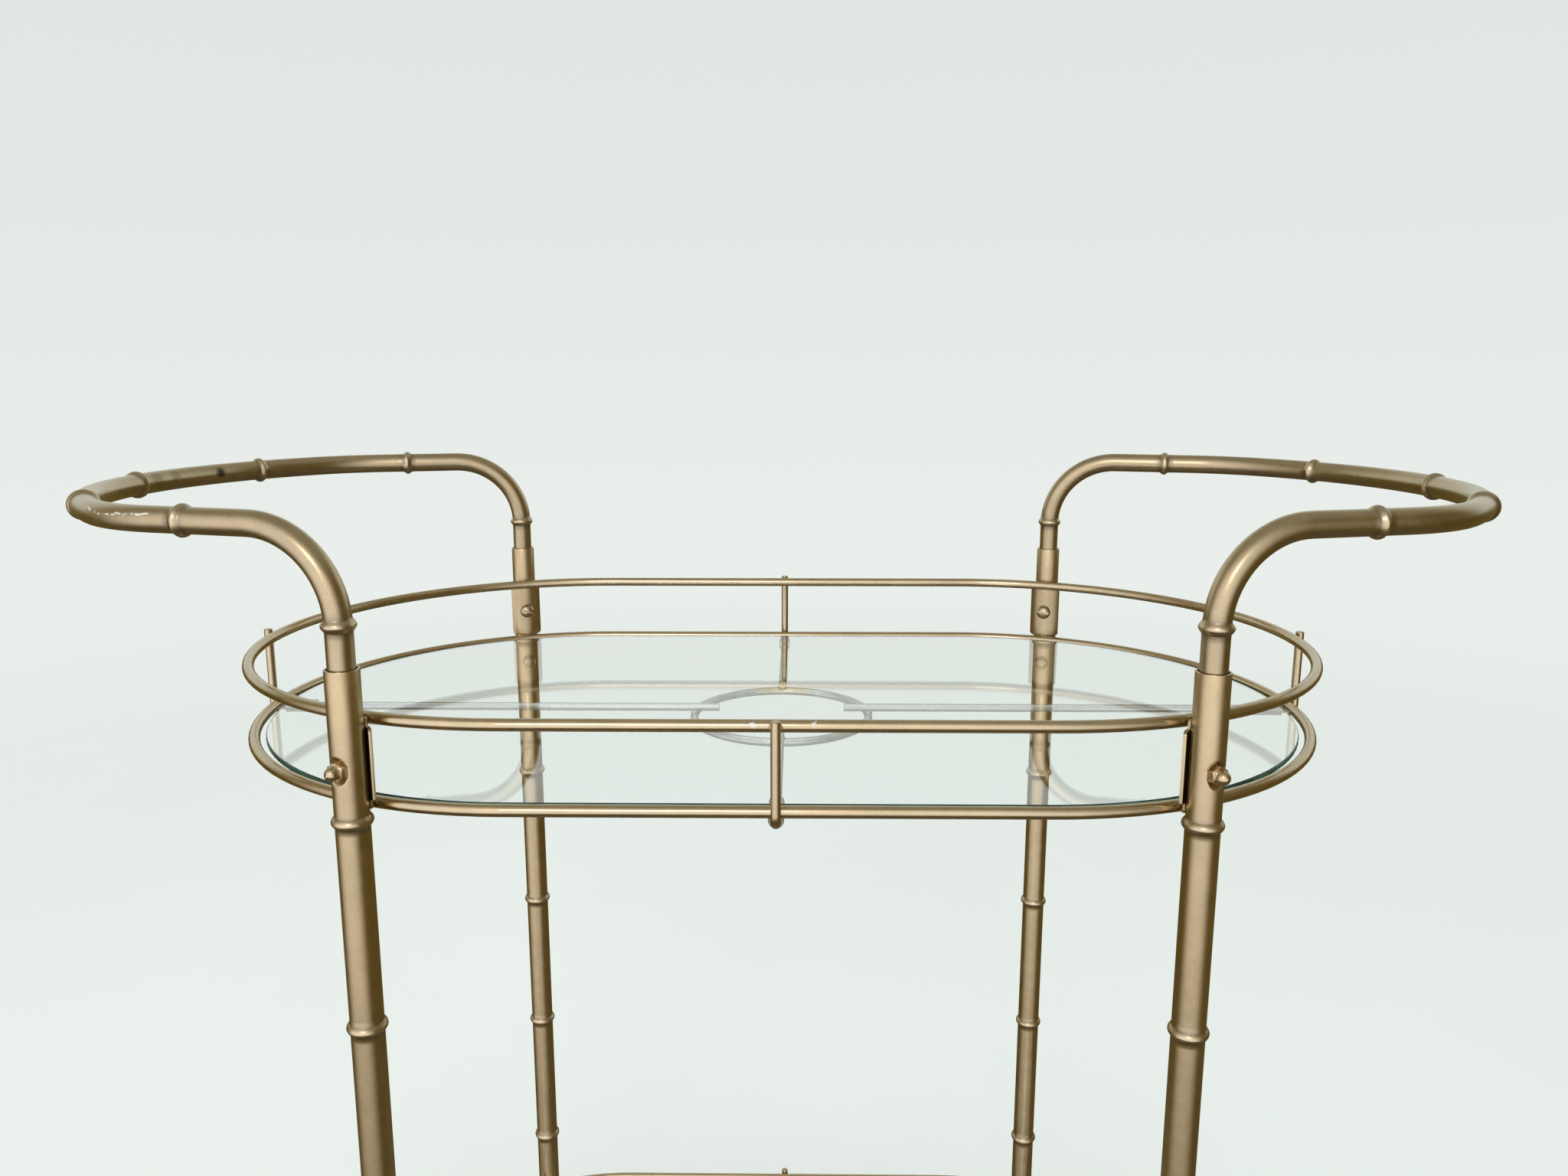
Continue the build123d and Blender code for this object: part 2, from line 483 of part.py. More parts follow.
# The four casters, all trailing towards +X
for corner_name, (side_x, side_y) in CORNERS.items():
    swivel_x, swivel_y = side_x * LEG_X, side_y * LEG_Y
    axle_x = swivel_x + CASTER_TRAIL
    wheel_plane = Plane((axle_x, swivel_y, AXLE_Z), x_dir=(1, 0, 0), z_dir=(0, -1, 0))

    with BuildPart() as washer:
        with BuildSketch(Plane((swivel_x, swivel_y, FORK_Z + TOUCH))):
            Circle(WASHER_DIA / 2)
            Circle(KINGPIN_DIA / 2 + KINGPIN_FIT, mode=Mode.SUBTRACT)
        extrude(amount=WASHER_THICKNESS - TOUCH)
    save(washer, f"caster_washer_{corner_name}")

    with BuildPart() as fork:
        with BuildSketch(wheel_plane) as fork_side:
            with BuildLine():
                top = FORK_Z - AXLE_Z
                nose = -CASTER_TRAIL - FORK_NOSE
                shoulder = FORK_UNDER_Z - AXLE_Z - FORK_PLATE
                Polyline((0, -FORK_BOSS_RADIUS), (FORK_BOSS_RADIUS, 0), (FORK_TAIL, shoulder), (FORK_TAIL, top),
                         (nose, top), (nose, shoulder), (-FORK_BOSS_RADIUS, 0), (0, -FORK_BOSS_RADIUS))
            make_face()
            Circle(FORK_BOSS_RADIUS)
        extrude(amount=FORK_OUTER_WIDTH / 2, both=True)
        fillet(fork.edges().filter_by(Axis.X).group_by(Axis.Z)[-1], FORK_CORNER_RADIUS)
        with BuildSketch(wheel_plane):
            with Locations((0, FORK_UNDER_Z - AXLE_Z - WHEEL_DIA / 2)):
                Rectangle(2 * WHEEL_DIA, WHEEL_DIA)
        extrude(amount=FORK_INNER_WIDTH / 2, both=True, mode=Mode.SUBTRACT)
        with BuildSketch(wheel_plane):
            Circle(AXLE_DIA / 2 + TOUCH)
        extrude(amount=FORK_OUTER_WIDTH, both=True, mode=Mode.SUBTRACT)
        with BuildSketch(Plane((swivel_x, swivel_y, FORK_UNDER_Z))):
            Circle(KINGPIN_DIA / 2 + KINGPIN_FIT)
        extrude(amount=WHEEL_DIA, mode=Mode.SUBTRACT)
    save(fork, f"caster_fork_{corner_name}")

    with BuildPart() as axle:
        with BuildSketch(wheel_plane):
            Circle(AXLE_DIA / 2)
        extrude(amount=FORK_OUTER_WIDTH / 2 + TOUCH, both=True)
        for facing in (-1, 1):
            with BuildSketch(wheel_plane.offset(facing * (FORK_OUTER_WIDTH / 2 + TOUCH))):
                Circle(AXLE_HEAD_DIA / 2)
            extrude(amount=facing * AXLE_HEAD_HEIGHT)
        head_rims = axle.faces().sort_by(Axis.Y)
        fillet(head_rims[0].edges() + head_rims[-1].edges(), AXLE_HEAD_ROUND)
    save(axle, f"caster_axle_{corner_name}")

    with BuildPart() as hub:
        with BuildSketch(wheel_plane):
            Circle(HUB_DIA / 2 - TOUCH)
        extrude(amount=HUB_WIDTH / 2, both=True)
        for facing in (-1, 1):
            with BuildSketch(wheel_plane.offset(facing * HUB_WIDTH / 2)):
                Circle(HUB_POCKET_DIA / 2)
                Circle(HUB_BOSS_DIA / 2, mode=Mode.SUBTRACT)
                with PolarLocations((HUB_POCKET_DIA + HUB_BOSS_DIA) / 4, HUB_RIB_COUNT):
                    Rectangle(HUB_POCKET_DIA / 2, HUB_RIB_WIDTH, mode=Mode.SUBTRACT)
            extrude(amount=-facing * HUB_POCKET_DEPTH, mode=Mode.SUBTRACT)
        with BuildSketch(wheel_plane):
            Circle(HUB_BOSS_DIA / 2)
        extrude(amount=HUB_BOSS_WIDTH / 2, both=True)
        with BuildSketch(wheel_plane):
            Circle(AXLE_DIA / 2 + AXLE_FIT)
        extrude(amount=HUB_BOSS_WIDTH, both=True, mode=Mode.SUBTRACT)
    save(hub, f"caster_hub_{corner_name}")

    with BuildPart() as tyre:
        with BuildSketch(wheel_plane):
            Circle(WHEEL_DIA / 2)
            Circle(HUB_DIA / 2, mode=Mode.SUBTRACT)
        extrude(amount=TYRE_WIDTH / 2, both=True)
        tread_rims = tyre.edges().filter_by(GeomType.CIRCLE).group_by(SortBy.RADIUS)[-1]
        fillet(tread_rims, TYRE_EDGE_RADIUS)
    save(tyre, f"caster_tyre_{corner_name}")
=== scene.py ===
"""Dresses the serving cart in metres, in its solids' frame: beaded gold tube, glass shelves and swivel casters."""
import logging
import math
from abc import ABC, abstractmethod
from collections.abc import Callable
from dataclasses import dataclass
from enum import Enum

import bpy
from mathutils import Matrix, Vector


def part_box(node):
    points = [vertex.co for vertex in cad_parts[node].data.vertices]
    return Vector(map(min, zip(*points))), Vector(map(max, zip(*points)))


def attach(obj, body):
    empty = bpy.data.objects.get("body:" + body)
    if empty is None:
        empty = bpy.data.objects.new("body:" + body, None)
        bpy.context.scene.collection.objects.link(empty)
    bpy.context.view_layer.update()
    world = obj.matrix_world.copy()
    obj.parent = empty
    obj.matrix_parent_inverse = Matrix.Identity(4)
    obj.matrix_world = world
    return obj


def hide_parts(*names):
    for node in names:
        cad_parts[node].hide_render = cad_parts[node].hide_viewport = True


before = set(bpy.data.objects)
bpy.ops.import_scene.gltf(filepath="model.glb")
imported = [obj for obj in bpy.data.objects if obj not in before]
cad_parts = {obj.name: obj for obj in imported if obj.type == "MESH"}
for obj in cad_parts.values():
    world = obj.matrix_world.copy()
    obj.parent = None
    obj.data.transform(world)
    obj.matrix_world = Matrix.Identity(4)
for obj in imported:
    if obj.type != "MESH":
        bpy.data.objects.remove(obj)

LOG = logging.getLogger("serving_cart")
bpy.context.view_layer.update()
FRAME_BODY = "frame"
MM = 0.001
NEAR = MM / 100  # places closer than this count as one
UP = Vector((0, 0, 1))
QUARTER = math.pi / 2
SIDES = ("left", "right")
CORNERS = ("front_left", "front_right", "back_left", "back_right")
SHELVES = ("top_shelf", "bottom_shelf")
BEAD_PITCH = 104.3 * MM
BOLT_ANGLE = math.radians(21.28)  # of a corner's bolts from the Y axis
RAIL_HALF_STRAIGHT = 127.3 * MM

Feed = object  # what a shader socket takes: a Value, a number, a colour or a vector
Feeds = dict[str | int, Feed]  # by the name or place of a socket
Settings = dict[str, object]
Colour = tuple[float, float, float, float]
Triple = tuple[float, float, float]
Span = tuple[float, float]  # where a ramp starts and where it is full


class Slot(Enum):
    """The record's material slots."""

    SATIN_GOLD = "satin_gold"
    GOLD_HARDWARE = "gold_hardware"
    CLEAR_GLASS = "clear_glass"
    CLEAR_VINYL = "clear_vinyl"
    BLACK_PLASTIC = "black_plastic"
    PLATED_STEEL = "plated_steel"
    CASTER_GOLD = "caster_gold"
    WHITE_NYLON = "white_nylon"
    HUB_PLASTIC = "hub_plastic"
    GREY_TYRE = "grey_tyre"


class Mark(Enum):
    """Attributes that a tube's mesh carries for its finish: wear, and painted shade with grime."""

    WEAR = "wear"
    # painted shade with some grime: darker at the bead feet and deep inside a leg's mouth
    GRIME = "grime"


class Value:
    """A shader output that Python's arithmetic can be done on."""

    def __init__(self, shader: "Shader", socket: bpy.types.NodeSocket) -> None:
        """Wrap one output socket of a shader's node."""
        self.shader = shader
        self.socket = socket

    def __add__(self, other: Feed) -> "Value":
        """Sum."""
        return self.shader.math("ADD", self, other)

    def __radd__(self, other: Feed) -> "Value":
        """Sum with a number on the left."""
        return self.shader.math("ADD", other, self)

    def __sub__(self, other: Feed) -> "Value":
        """Difference."""
        return self.shader.math("SUBTRACT", self, other)

    def __rsub__(self, other: Feed) -> "Value":
        """Difference from a number on the left."""
        return self.shader.math("SUBTRACT", other, self)

    def __mul__(self, other: Feed) -> "Value":
        """Product."""
        return self.shader.math("MULTIPLY", self, other)

    def __rmul__(self, other: Feed) -> "Value":
        """Product with a number on the left."""
        return self.shader.math("MULTIPLY", other, self)

    def __truediv__(self, other: Feed) -> "Value":
        """Quotient."""
        return self.shader.math("DIVIDE", self, other)

    def __abs__(self) -> "Value":
        """Size without sign."""
        return self.shader.math("ABSOLUTE", self)

    def ramp(self, low: float, high: float) -> "Value":
        """Smooth step from 0 at low to 1 at high.

        Args:
            low: Value that gives 0.
            high: Value that gives 1, which may be below low.

        Returns:
            The stepped value.
        """
        feeds = {"Value": self, "From Min": min(low, high), "From Max": max(low, high)}
        step = self.shader.value("MapRange", {"interpolation_type": "SMOOTHSTEP"}, feeds)
        return step if low < high else 1 - step

    def both(self, other: Feed) -> "Value":
        """The smaller of two values."""
        return self.shader.math("MINIMUM", self, other)

    def either(self, other: Feed) -> "Value":
        """The larger of two values."""
        return self.shader.math("MAXIMUM", self, other)


class Shader:
    """Nodes of one material or world."""

    def __init__(self, tree: bpy.types.NodeTree) -> None:
        """Start from an empty tree."""
        self.tree = tree
        tree.nodes.clear()

    def add(self, kind: str, settings: Settings, feeds: Feeds) -> bpy.types.Node:
        """Add a node.

        Args:
            kind: The node's type, without its ShaderNode prefix.
            settings: Properties, set before the sockets.
            feeds: Values or links of input sockets.

        Returns:
            The new node.
        """
        node = self.tree.nodes.new(f"ShaderNode{kind}")
        for name, setting in settings.items():
            setattr(node, name, setting)
        for name, feed in feeds.items():
            if isinstance(feed, Value):
                self.tree.links.new(feed.socket, node.inputs[name])
            else:
                node.inputs[name].default_value = feed
        return node

    def value(self, kind: str, settings: Settings, feeds: Feeds, output: str | int = 0) -> Value:
        """Add a node and give the output of that name or place."""
        return Value(self, self.add(kind, settings, feeds).outputs[output])

    def math(self, operation: str, *terms: Feed) -> Value:
        """Add a Math node on one or two terms."""
        return self.value("Math", {"operation": operation}, dict(enumerate(terms)))

    def vector(self, operation: str, *terms: Feed, output: str = "Value") -> Value:
        """Add a Vector Math node on two terms."""
        return self.value("VectorMath", {"operation": operation}, dict(enumerate(terms)), output)

    def place(self, scale: Triple = (1, 1, 1)) -> Value:
        """Object coordinates, stretched by a scale."""
        coordinates = self.value("TexCoord", {}, {}, "Object")
        return self.value("Mapping", {}, {"Vector": coordinates, "Scale": scale})

    def axes(self, vector: Value) -> tuple[Value, ...]:
        """The X, Y and Z of a vector."""
        node = self.add("SeparateXYZ", {}, {"Vector": vector})
        return tuple(Value(self, socket) for socket in node.outputs)

    def noise(self, where: Value, scale: float, detail: float = 2.0, roughness: float = 0.5) -> Value:
        """Noise about 0.5, with so many features to the metre."""
        return self.value("TexNoise", {}, {"Vector": where, "Scale": scale, "Detail": detail, "Roughness": roughness})

    def flakes(self, where: Value, scale: float) -> Value:
        """A random level for each cell of a fine pattern."""
        return self.axes(self.value("TexVoronoi", {}, {"Vector": where, "Scale": scale}, "Color"))[0]

    def distance(self, where: Value, point: Triple) -> Value:
        """Distance of each place from a point."""
        return self.vector("DISTANCE", where, point)

    def line(self, where: Value, start: Triple, end: Triple) -> tuple[Value, Value]:
        """Where places lie beside a straight line.

        Args:
            where: Coordinates.
            start: The line's first point.
            end: Its last point.

        Returns:
            The share along the line and the distance from it.
        """
        run = Vector(end) - Vector(start)
        offset = self.vector("SUBTRACT", where, start, output="Vector")
        share = (self.vector("DOT_PRODUCT", offset, tuple(run)) / run.length_squared).both(1.0).either(0.0)
        foot = self.value("VectorMath", {"operation": "SCALE"}, {0: tuple(run), "Scale": share})
        return share, self.vector("DISTANCE", offset, foot)

    def mark(self, mark: Mark) -> Value:
        """An attribute of the mesh, 0 where it has none."""
        return self.value("Attribute", {"attribute_name": mark.value}, {}, "Fac")

    def blend(self, factor: Feed, first: Feed, second: Feed) -> Value:
        """Mix two colours, with a factor of 0 for the first and 1 for the second."""
        settings = {"data_type": "RGBA", "blend_type": "MIX", "clamp_factor": True}
        return self.value("Mix", settings, {0: factor, 6: first, 7: second}, 2)

    def bump(self, height: Value, strength: float, depth: float, under: Value | None = None) -> Value:
        """Bumped normal.

        Args:
            height: Relief between 0 and 1.
            strength: Share of the relief that shows.
            depth: Relief in metres.
            under: Normal that this relief is laid on.

        Returns:
            The normal.
        """
        feeds = {"Strength": strength, "Distance": depth, "Height": height}
        if under is not None:
            feeds["Normal"] = under
        return self.value("Bump", {}, feeds, "Normal")

    def surface(self, feeds: Feeds) -> None:
        """Finish a material with one Principled surface."""
        self.show(self.value("BsdfPrincipled", {}, feeds))

    def show(self, surface: Value) -> None:
        """Finish a material with a surface."""
        self.add("OutputMaterial", {}, {"Surface": surface})


def new_shader(name: str) -> tuple[bpy.types.Material, Shader]:
    """Start a material.

    Args:
        name: The material's name.

    Returns:
        The empty material and the shader that fills it.
    """
    material = bpy.data.materials.new(name)
    material.use_nodes = True
    return material, Shader(material.node_tree)


def srgb(red: int, green: int, blue: int) -> Colour:
    """A display colour, 0 to 255, as the linear colour that shaders take."""
    shares = [level / 255 for level in (red, green, blue)]
    return (*(share / 12.92 if share <= 0.04045 else ((share + 0.055) / 1.055) ** 2.4 for share in shares), 1.0)


# Both ends of each scratch on the left handle.
SCRATCHES = (
    ((-0.3288, -0.1390, 0.7502), (-0.3168, -0.1487, 0.7487)),
    ((-0.3124, -0.1512, 0.7491), (-0.2995, -0.1569, 0.7496)),
    ((-0.2970, -0.1577, 0.7498), (-0.2903, -0.1596, 0.7501)),
)
# Where the front rail is nicked.
NICKS = ((-0.0108, -0.1808, 0.6573), (0.0169, -0.1808, 0.6574))
# Place, reach and strength of each smudge on the left handle.
SMUDGES = (
    ((-0.3637, 0.0661, 0.7483), 0.0048, 0.95),
    ((-0.3764, 0.0121, 0.7495), 0.0065, 0.4),
    ((-0.3740, 0.0294, 0.7485), 0.0055, 0.35),
)


@dataclass(frozen=True)
class GoldPaint:
    """Satin metallic paint on tube and rod, with flake, handling wear, small chips, and painted shade with grime in
    the creases.
    """

    name: str = "satin_gold_paint"
    light: Colour = srgb(187, 158, 94)
    deep: Colour = srgb(167, 139, 70)
    rubbed: Colour = srgb(202, 178, 138)
    # dark olive for random grime specks, and for painted shade in the bead feet and leg mouths
    grime: Colour = srgb(84, 66, 34)
    stain: Colour = srgb(52, 46, 26)
    edge: Colour = (0.72, 0.66, 0.46, 1.0)
    chip: Colour = srgb(226, 222, 212)
    undercoat: Colour = srgb(170, 175, 170)
    roughness: float = 0.34
    lacquer_roughness: float = 0.24
    lacquer_ior: float = 2.2
    chips: float = 1.0
    bare_inside: bool = False  # whether the gold spray missed the rods under the glass
    patina_scale: float = 17.0
    cloud_scale: float = 140.0
    grain_scale: float = 1500.0
    flake_scale: float = 2600.0
    peel_scale: float = 620.0
    chip_scale: float = 95.0
    chip_edge: Span = (0.745, 0.76)
    peel_depth: float = 0.25 * MM
    flake_depth: float = 0.1 * MM
    chip_depth: float = 0.1 * MM
    smudge_fray: float = 6.0 * MM
    bare_edge: Span = (166.0 * MM, 156.0 * MM)  # from the line between the centres of the rails' round ends
    spray_side: Span = (26.0 * MM, 12.0 * MM)  # gold beside the back arm
    spray_depth: Span = (20.0 * MM, 40.0 * MM)
    spray_fray: float = 30.0 * MM
    nick_scale: float = 900.0
    nick_edge: Span = (0.9 * MM, 0.6 * MM)
    nick_fray: float = 9.0 * MM
    scratch_edge: Span = (0.5 * MM, 0.2 * MM)
    scratch_reach: Span = (3.2 * MM, 2.4 * MM)
    wander_scale: float = 190.0
    scratch_wander: float = 3.0 * MM
    break_scale: float = 330.0
    scratch_breaks: Span = (0.40, 0.46)

    def material(self) -> bpy.types.Material:
        """Build the material.

        Returns:
            The material.
        """
        material, shader = new_shader(self.name)
        where = shader.place()
        patina = shader.noise(where, self.patina_scale, 3.0, 0.6)
        cloud = shader.noise(where, self.cloud_scale, 3.0, 0.55)
        glint = shader.flakes(where, self.flake_scale)
        wear = shader.mark(Mark.WEAR)
        crease_shade = shader.mark(Mark.GRIME)

        tone = (patina * 0.6 + cloud * 0.4).ramp(0.35, 0.66)
        colour = shader.blend(tone, self.deep, self.light)
        grain = shader.noise(where, self.grain_scale, 2.0, 0.6).ramp(0.3, 0.7)
        colour = shader.blend((glint - 0.5) * 0.2 + 0.1, colour, self.rubbed)
        colour = shader.blend(0.16 * (1 - grain), colour, self.grime)
        rubbed = wear * (0.35 + 0.5 * cloud)
        colour = shader.blend(rubbed, colour, self.rubbed)
        # painted shade with grime: the colour darkens at the bead feet and deep inside the leg mouths
        shade_and_dirt = crease_shade * (0.25 + 0.5 * patina)
        colour = shader.blend(shade_and_dirt, colour, self.grime)
        stain = shade_and_dirt * 0.3
        for place, reach, strength in SMUDGES:
            smudge = (shader.distance(where, place) + (cloud - 0.5) * self.smudge_fray).ramp(reach, reach * 0.35)
            stain = stain.either(smudge * strength)
            colour = shader.blend(smudge * strength, colour, self.stain)
        specks = shader.noise(where, self.chip_scale, 5.0, 0.72).ramp(*self.chip_edge) * self.chips
        specks = specks.either(self.scratches(shader, where))
        dull = specks
        if self.bare_inside:
            bare = self.unpainted(shader, where, cloud)
            colour = shader.blend(bare, colour, self.undercoat)
            dull = specks.either(bare * 0.5)
        colour = shader.blend(specks, colour, self.chip)

        normal = shader.bump(shader.noise(where, self.peel_scale, 2.0), 0.16, self.peel_depth)
        normal = shader.bump(glint, 0.05, self.flake_depth, normal)
        normal = shader.bump(1 - specks, 0.4, self.chip_depth, normal)
        matt = self.roughness + (cloud - 0.5) * 0.14 + (glint - 0.5) * 0.05 + shade_and_dirt * 0.2 - rubbed * 0.06
        shader.surface({
            "Base Color": colour,
            "Metallic": 1 - dull,
            "Roughness": matt + specks * 0.3 + stain * 0.15,
            "Normal": normal,
            "Specular Tint": self.edge,
            "Coat Weight": 1 - stain * 0.8,
            "Coat IOR": self.lacquer_ior,
            "Coat Roughness": self.lacquer_roughness,
        })
        return material

    def unpainted(self, shader: Shader, where: Value, cloud: Value) -> Value:
        """Rods under the glass in their grey undercoat, with gold only on and near the back arm.

        Args:
            shader: The material's shader.
            where: Object coordinates.
            cloud: Noise that breaks the paint's limit up.

        Returns:
            1 where no gold was sprayed.
        """
        side, depth, _ = shader.axes(where)
        across = abs(side)
        past_straight = (across - RAIL_HALF_STRAIGHT).either(0.0)
        from_middle = shader.math("SQRT", past_straight * past_straight + depth * depth)
        beside_arm = (across + (cloud - 0.5) * self.spray_fray).ramp(*self.spray_side)
        sprayed = beside_arm * depth.ramp(*self.spray_depth)
        return from_middle.ramp(*self.bare_edge) * (1 - sprayed)

    def scratches(self, shader: Shader, where: Value) -> Value:
        """Nicks and broken scratches through the paint.

        Args:
            shader: The material's shader.
            where: Object coordinates.

        Returns:
            1 where the paint is gone.
        """
        rough = shader.noise(where, self.nick_scale, 3.0, 0.7) - 0.5
        nearest = shader.distance(where, NICKS[0])
        for nick in NICKS[1:]:
            nearest = nearest.both(shader.distance(where, nick))
        shown = (nearest + rough * self.nick_fray).ramp(*self.nick_edge)
        wander = (shader.noise(where, self.wander_scale, 2.0) - 0.5) * self.scratch_wander
        breaks = shader.noise(where, self.break_scale, 2.0).ramp(*self.scratch_breaks)
        height = shader.axes(where)[2]
        for start, end in SCRATCHES:
            share, gap = shader.line(where, start, end)
            level = start[2] + share * (end[2] - start[2])
            stroke = abs(height - level + wander).ramp(*self.scratch_edge)
            shown = shown.either(stroke * gap.ramp(*self.scratch_reach) * breaks)
        return shown


@dataclass(frozen=True)
class ClearGlass:
    """Float glass with a ground green edge and faint finger marks."""

    name: str = "clear_float_glass"
    tint: Colour = (0.965, 0.995, 0.98, 1.0)
    edge_pale: Colour = srgb(84, 140, 122)
    edge_deep: Colour = srgb(18, 62, 52)
    edge_share: float = 0.85
    edge_span: Span = (0.93, 0.55)  # of the upward part of the normal
    tone_scale: float = 40.0
    grind_scale: float = 900.0
    grind_depth: float = 0.2 * MM
    smear_scale: float = 22.0
    smear_span: Span = (0.6, 0.8)
    haze: float = 0.02
    ior: float = 1.5

    def material(self) -> bpy.types.Material:
        """Build the material.

        Returns:
            The material.
        """
        material, shader = new_shader(self.name)
        where = shader.place()
        facing = shader.axes(shader.value("NewGeometry", {}, {}, "Normal"))[2]
        edge = abs(facing).ramp(*self.edge_span)
        smear = shader.noise(where, self.smear_scale, 4.0, 0.6).ramp(*self.smear_span)
        pane = shader.value("BsdfPrincipled", {}, {
            "Base Color": self.tint,
            "Roughness": smear * self.haze,
            "IOR": self.ior,
            "Transmission Weight": 1.0,
        })
        grind = shader.noise(where, self.grind_scale, 3.0)
        tone = shader.noise(where, self.tone_scale, 3.0) * 0.6 + grind * 0.4
        ground = shader.value("BsdfPrincipled", {}, {
            "Base Color": shader.blend(tone.ramp(0.3, 0.7), self.edge_deep, self.edge_pale),
            "Roughness": 0.3 + grind * 0.2,
            "Normal": shader.bump(grind, 0.2, self.grind_depth),
        })
        shader.show(shader.value("MixShader", {}, {0: edge * self.edge_share, 1: pane, 2: ground}))
        return material


@dataclass(frozen=True)
class SoftClear:
    """Clear soft vinyl, a little yellowed."""

    name: str = "clear_soft_vinyl"
    tint: Colour = (0.86, 0.86, 0.78, 1.0)
    ior: float = 1.48
    clearness: float = 0.9
    haze_scale: float = 260.0
    haze_depth: float = 0.2 * MM

    def material(self) -> bpy.types.Material:
        """Build the material.

        Returns:
            The material.
        """
        material, shader = new_shader(self.name)
        haze = shader.noise(shader.place(), self.haze_scale, 3.0)
        shader.surface({
            "Base Color": self.tint,
            "Roughness": 0.14 + haze * 0.16,
            "IOR": self.ior,
            "Transmission Weight": self.clearness,
            "Normal": shader.bump(haze, 0.1, self.haze_depth),
        })
        return material


@dataclass(frozen=True)
class Moulding:
    """Moulded plastic or rubber with a fine texture and scuffs."""

    name: str
    colour: Colour
    worn: Colour
    roughness: float
    grain_scale: float
    grain_depth: float = 0.2 * MM
    cloud_scale: float = 60.0
    scuff_scale: float = 210.0
    scuff_stretch: Triple = (1.0, 1.0, 5.0)
    scuff_span: Span = (0.6, 0.75)

    def material(self) -> bpy.types.Material:
        """Build the material.

        Returns:
            The material.
        """
        material, shader = new_shader(self.name)
        where = shader.place()
        cloud = shader.noise(where, self.cloud_scale, 4.0, 0.6)
        grain = shader.noise(where, self.grain_scale, 2.0)
        scuff = shader.noise(shader.place(self.scuff_stretch), self.scuff_scale, 4.0, 0.7).ramp(*self.scuff_span)
        colour = shader.blend(cloud.ramp(0.35, 0.75) * 0.5, self.colour, self.worn)
        colour = shader.blend(scuff * 0.35, colour, self.worn)
        shader.surface({
            "Base Color": colour,
            "Roughness": self.roughness + (cloud - 0.5) * 0.15 + scuff * 0.1,
            "Normal": shader.bump(grain, 0.25, self.grain_depth),
        })
        return material


@dataclass(frozen=True)
class BareMetal:
    """Plated steel with fine turning lines and a little tarnish."""

    name: str
    bright: Colour
    dull: Colour
    roughness: float
    tarnish_scale: float = 85.0
    tarnish_span: Span = (0.4, 0.75)
    line_scale: float = 330.0
    line_stretch: Triple = (1.0, 1.0, 14.0)
    line_depth: float = 0.1 * MM

    def material(self) -> bpy.types.Material:
        """Build the material.

        Returns:
            The material.
        """
        material, shader = new_shader(self.name)
        tarnish = shader.noise(shader.place(), self.tarnish_scale, 4.0, 0.65)
        lines = shader.noise(shader.place(self.line_stretch), self.line_scale, 2.0)
        shader.surface({
            "Base Color": shader.blend(tarnish.ramp(*self.tarnish_span), self.bright, self.dull),
            "Metallic": 1.0,
            "Roughness": self.roughness + (tarnish - 0.4) * 0.3,
            "Normal": shader.bump(lines, 0.12, self.line_depth),
        })
        return material


FINISHES = {
    Slot.SATIN_GOLD: GoldPaint(),
    Slot.GOLD_HARDWARE: GoldPaint("gold_hardware_paint", roughness=0.24, lacquer_roughness=0.1, lacquer_ior=2.5,
                                  chips=0.5),
    Slot.CLEAR_GLASS: ClearGlass(),
    Slot.CLEAR_VINYL: SoftClear(),
    Slot.BLACK_PLASTIC: Moulding("black_socket_plastic", srgb(22, 22, 23), srgb(58, 57, 55), 0.42, 900.0),
    Slot.PLATED_STEEL: BareMetal("plated_steel", srgb(196, 194, 188), srgb(140, 134, 124), 0.24),
    Slot.CASTER_GOLD: GoldPaint("caster_gold_paint", roughness=0.3),
    Slot.WHITE_NYLON: Moulding("white_nylon", srgb(224, 222, 212), srgb(190, 186, 172), 0.38, 700.0),
    Slot.HUB_PLASTIC: Moulding("hub_plastic", srgb(96, 95, 92), srgb(130, 127, 121), 0.4, 800.0),
    Slot.GREY_TYRE: Moulding("grey_tyre_rubber", srgb(62, 61, 60), srgb(104, 101, 96), 0.62, 1100.0),
}

ROD_PAINT = GoldPaint("gold_rod_paint", roughness=0.26, lacquer_roughness=0.1, lacquer_ior=2.5, chips=0.6,
                      bare_inside=True)
# Painted shade: a darker copy of the satin gold for the handles, standing in for the dimmer light that they mirror.
SHADED_HANDLE_PAINT = GoldPaint("gold_handle_paint", light=srgb(173, 147, 88), deep=srgb(152, 127, 64), roughness=0.32)
ROD_WORDS = ("_rail", "_post", "_ring")


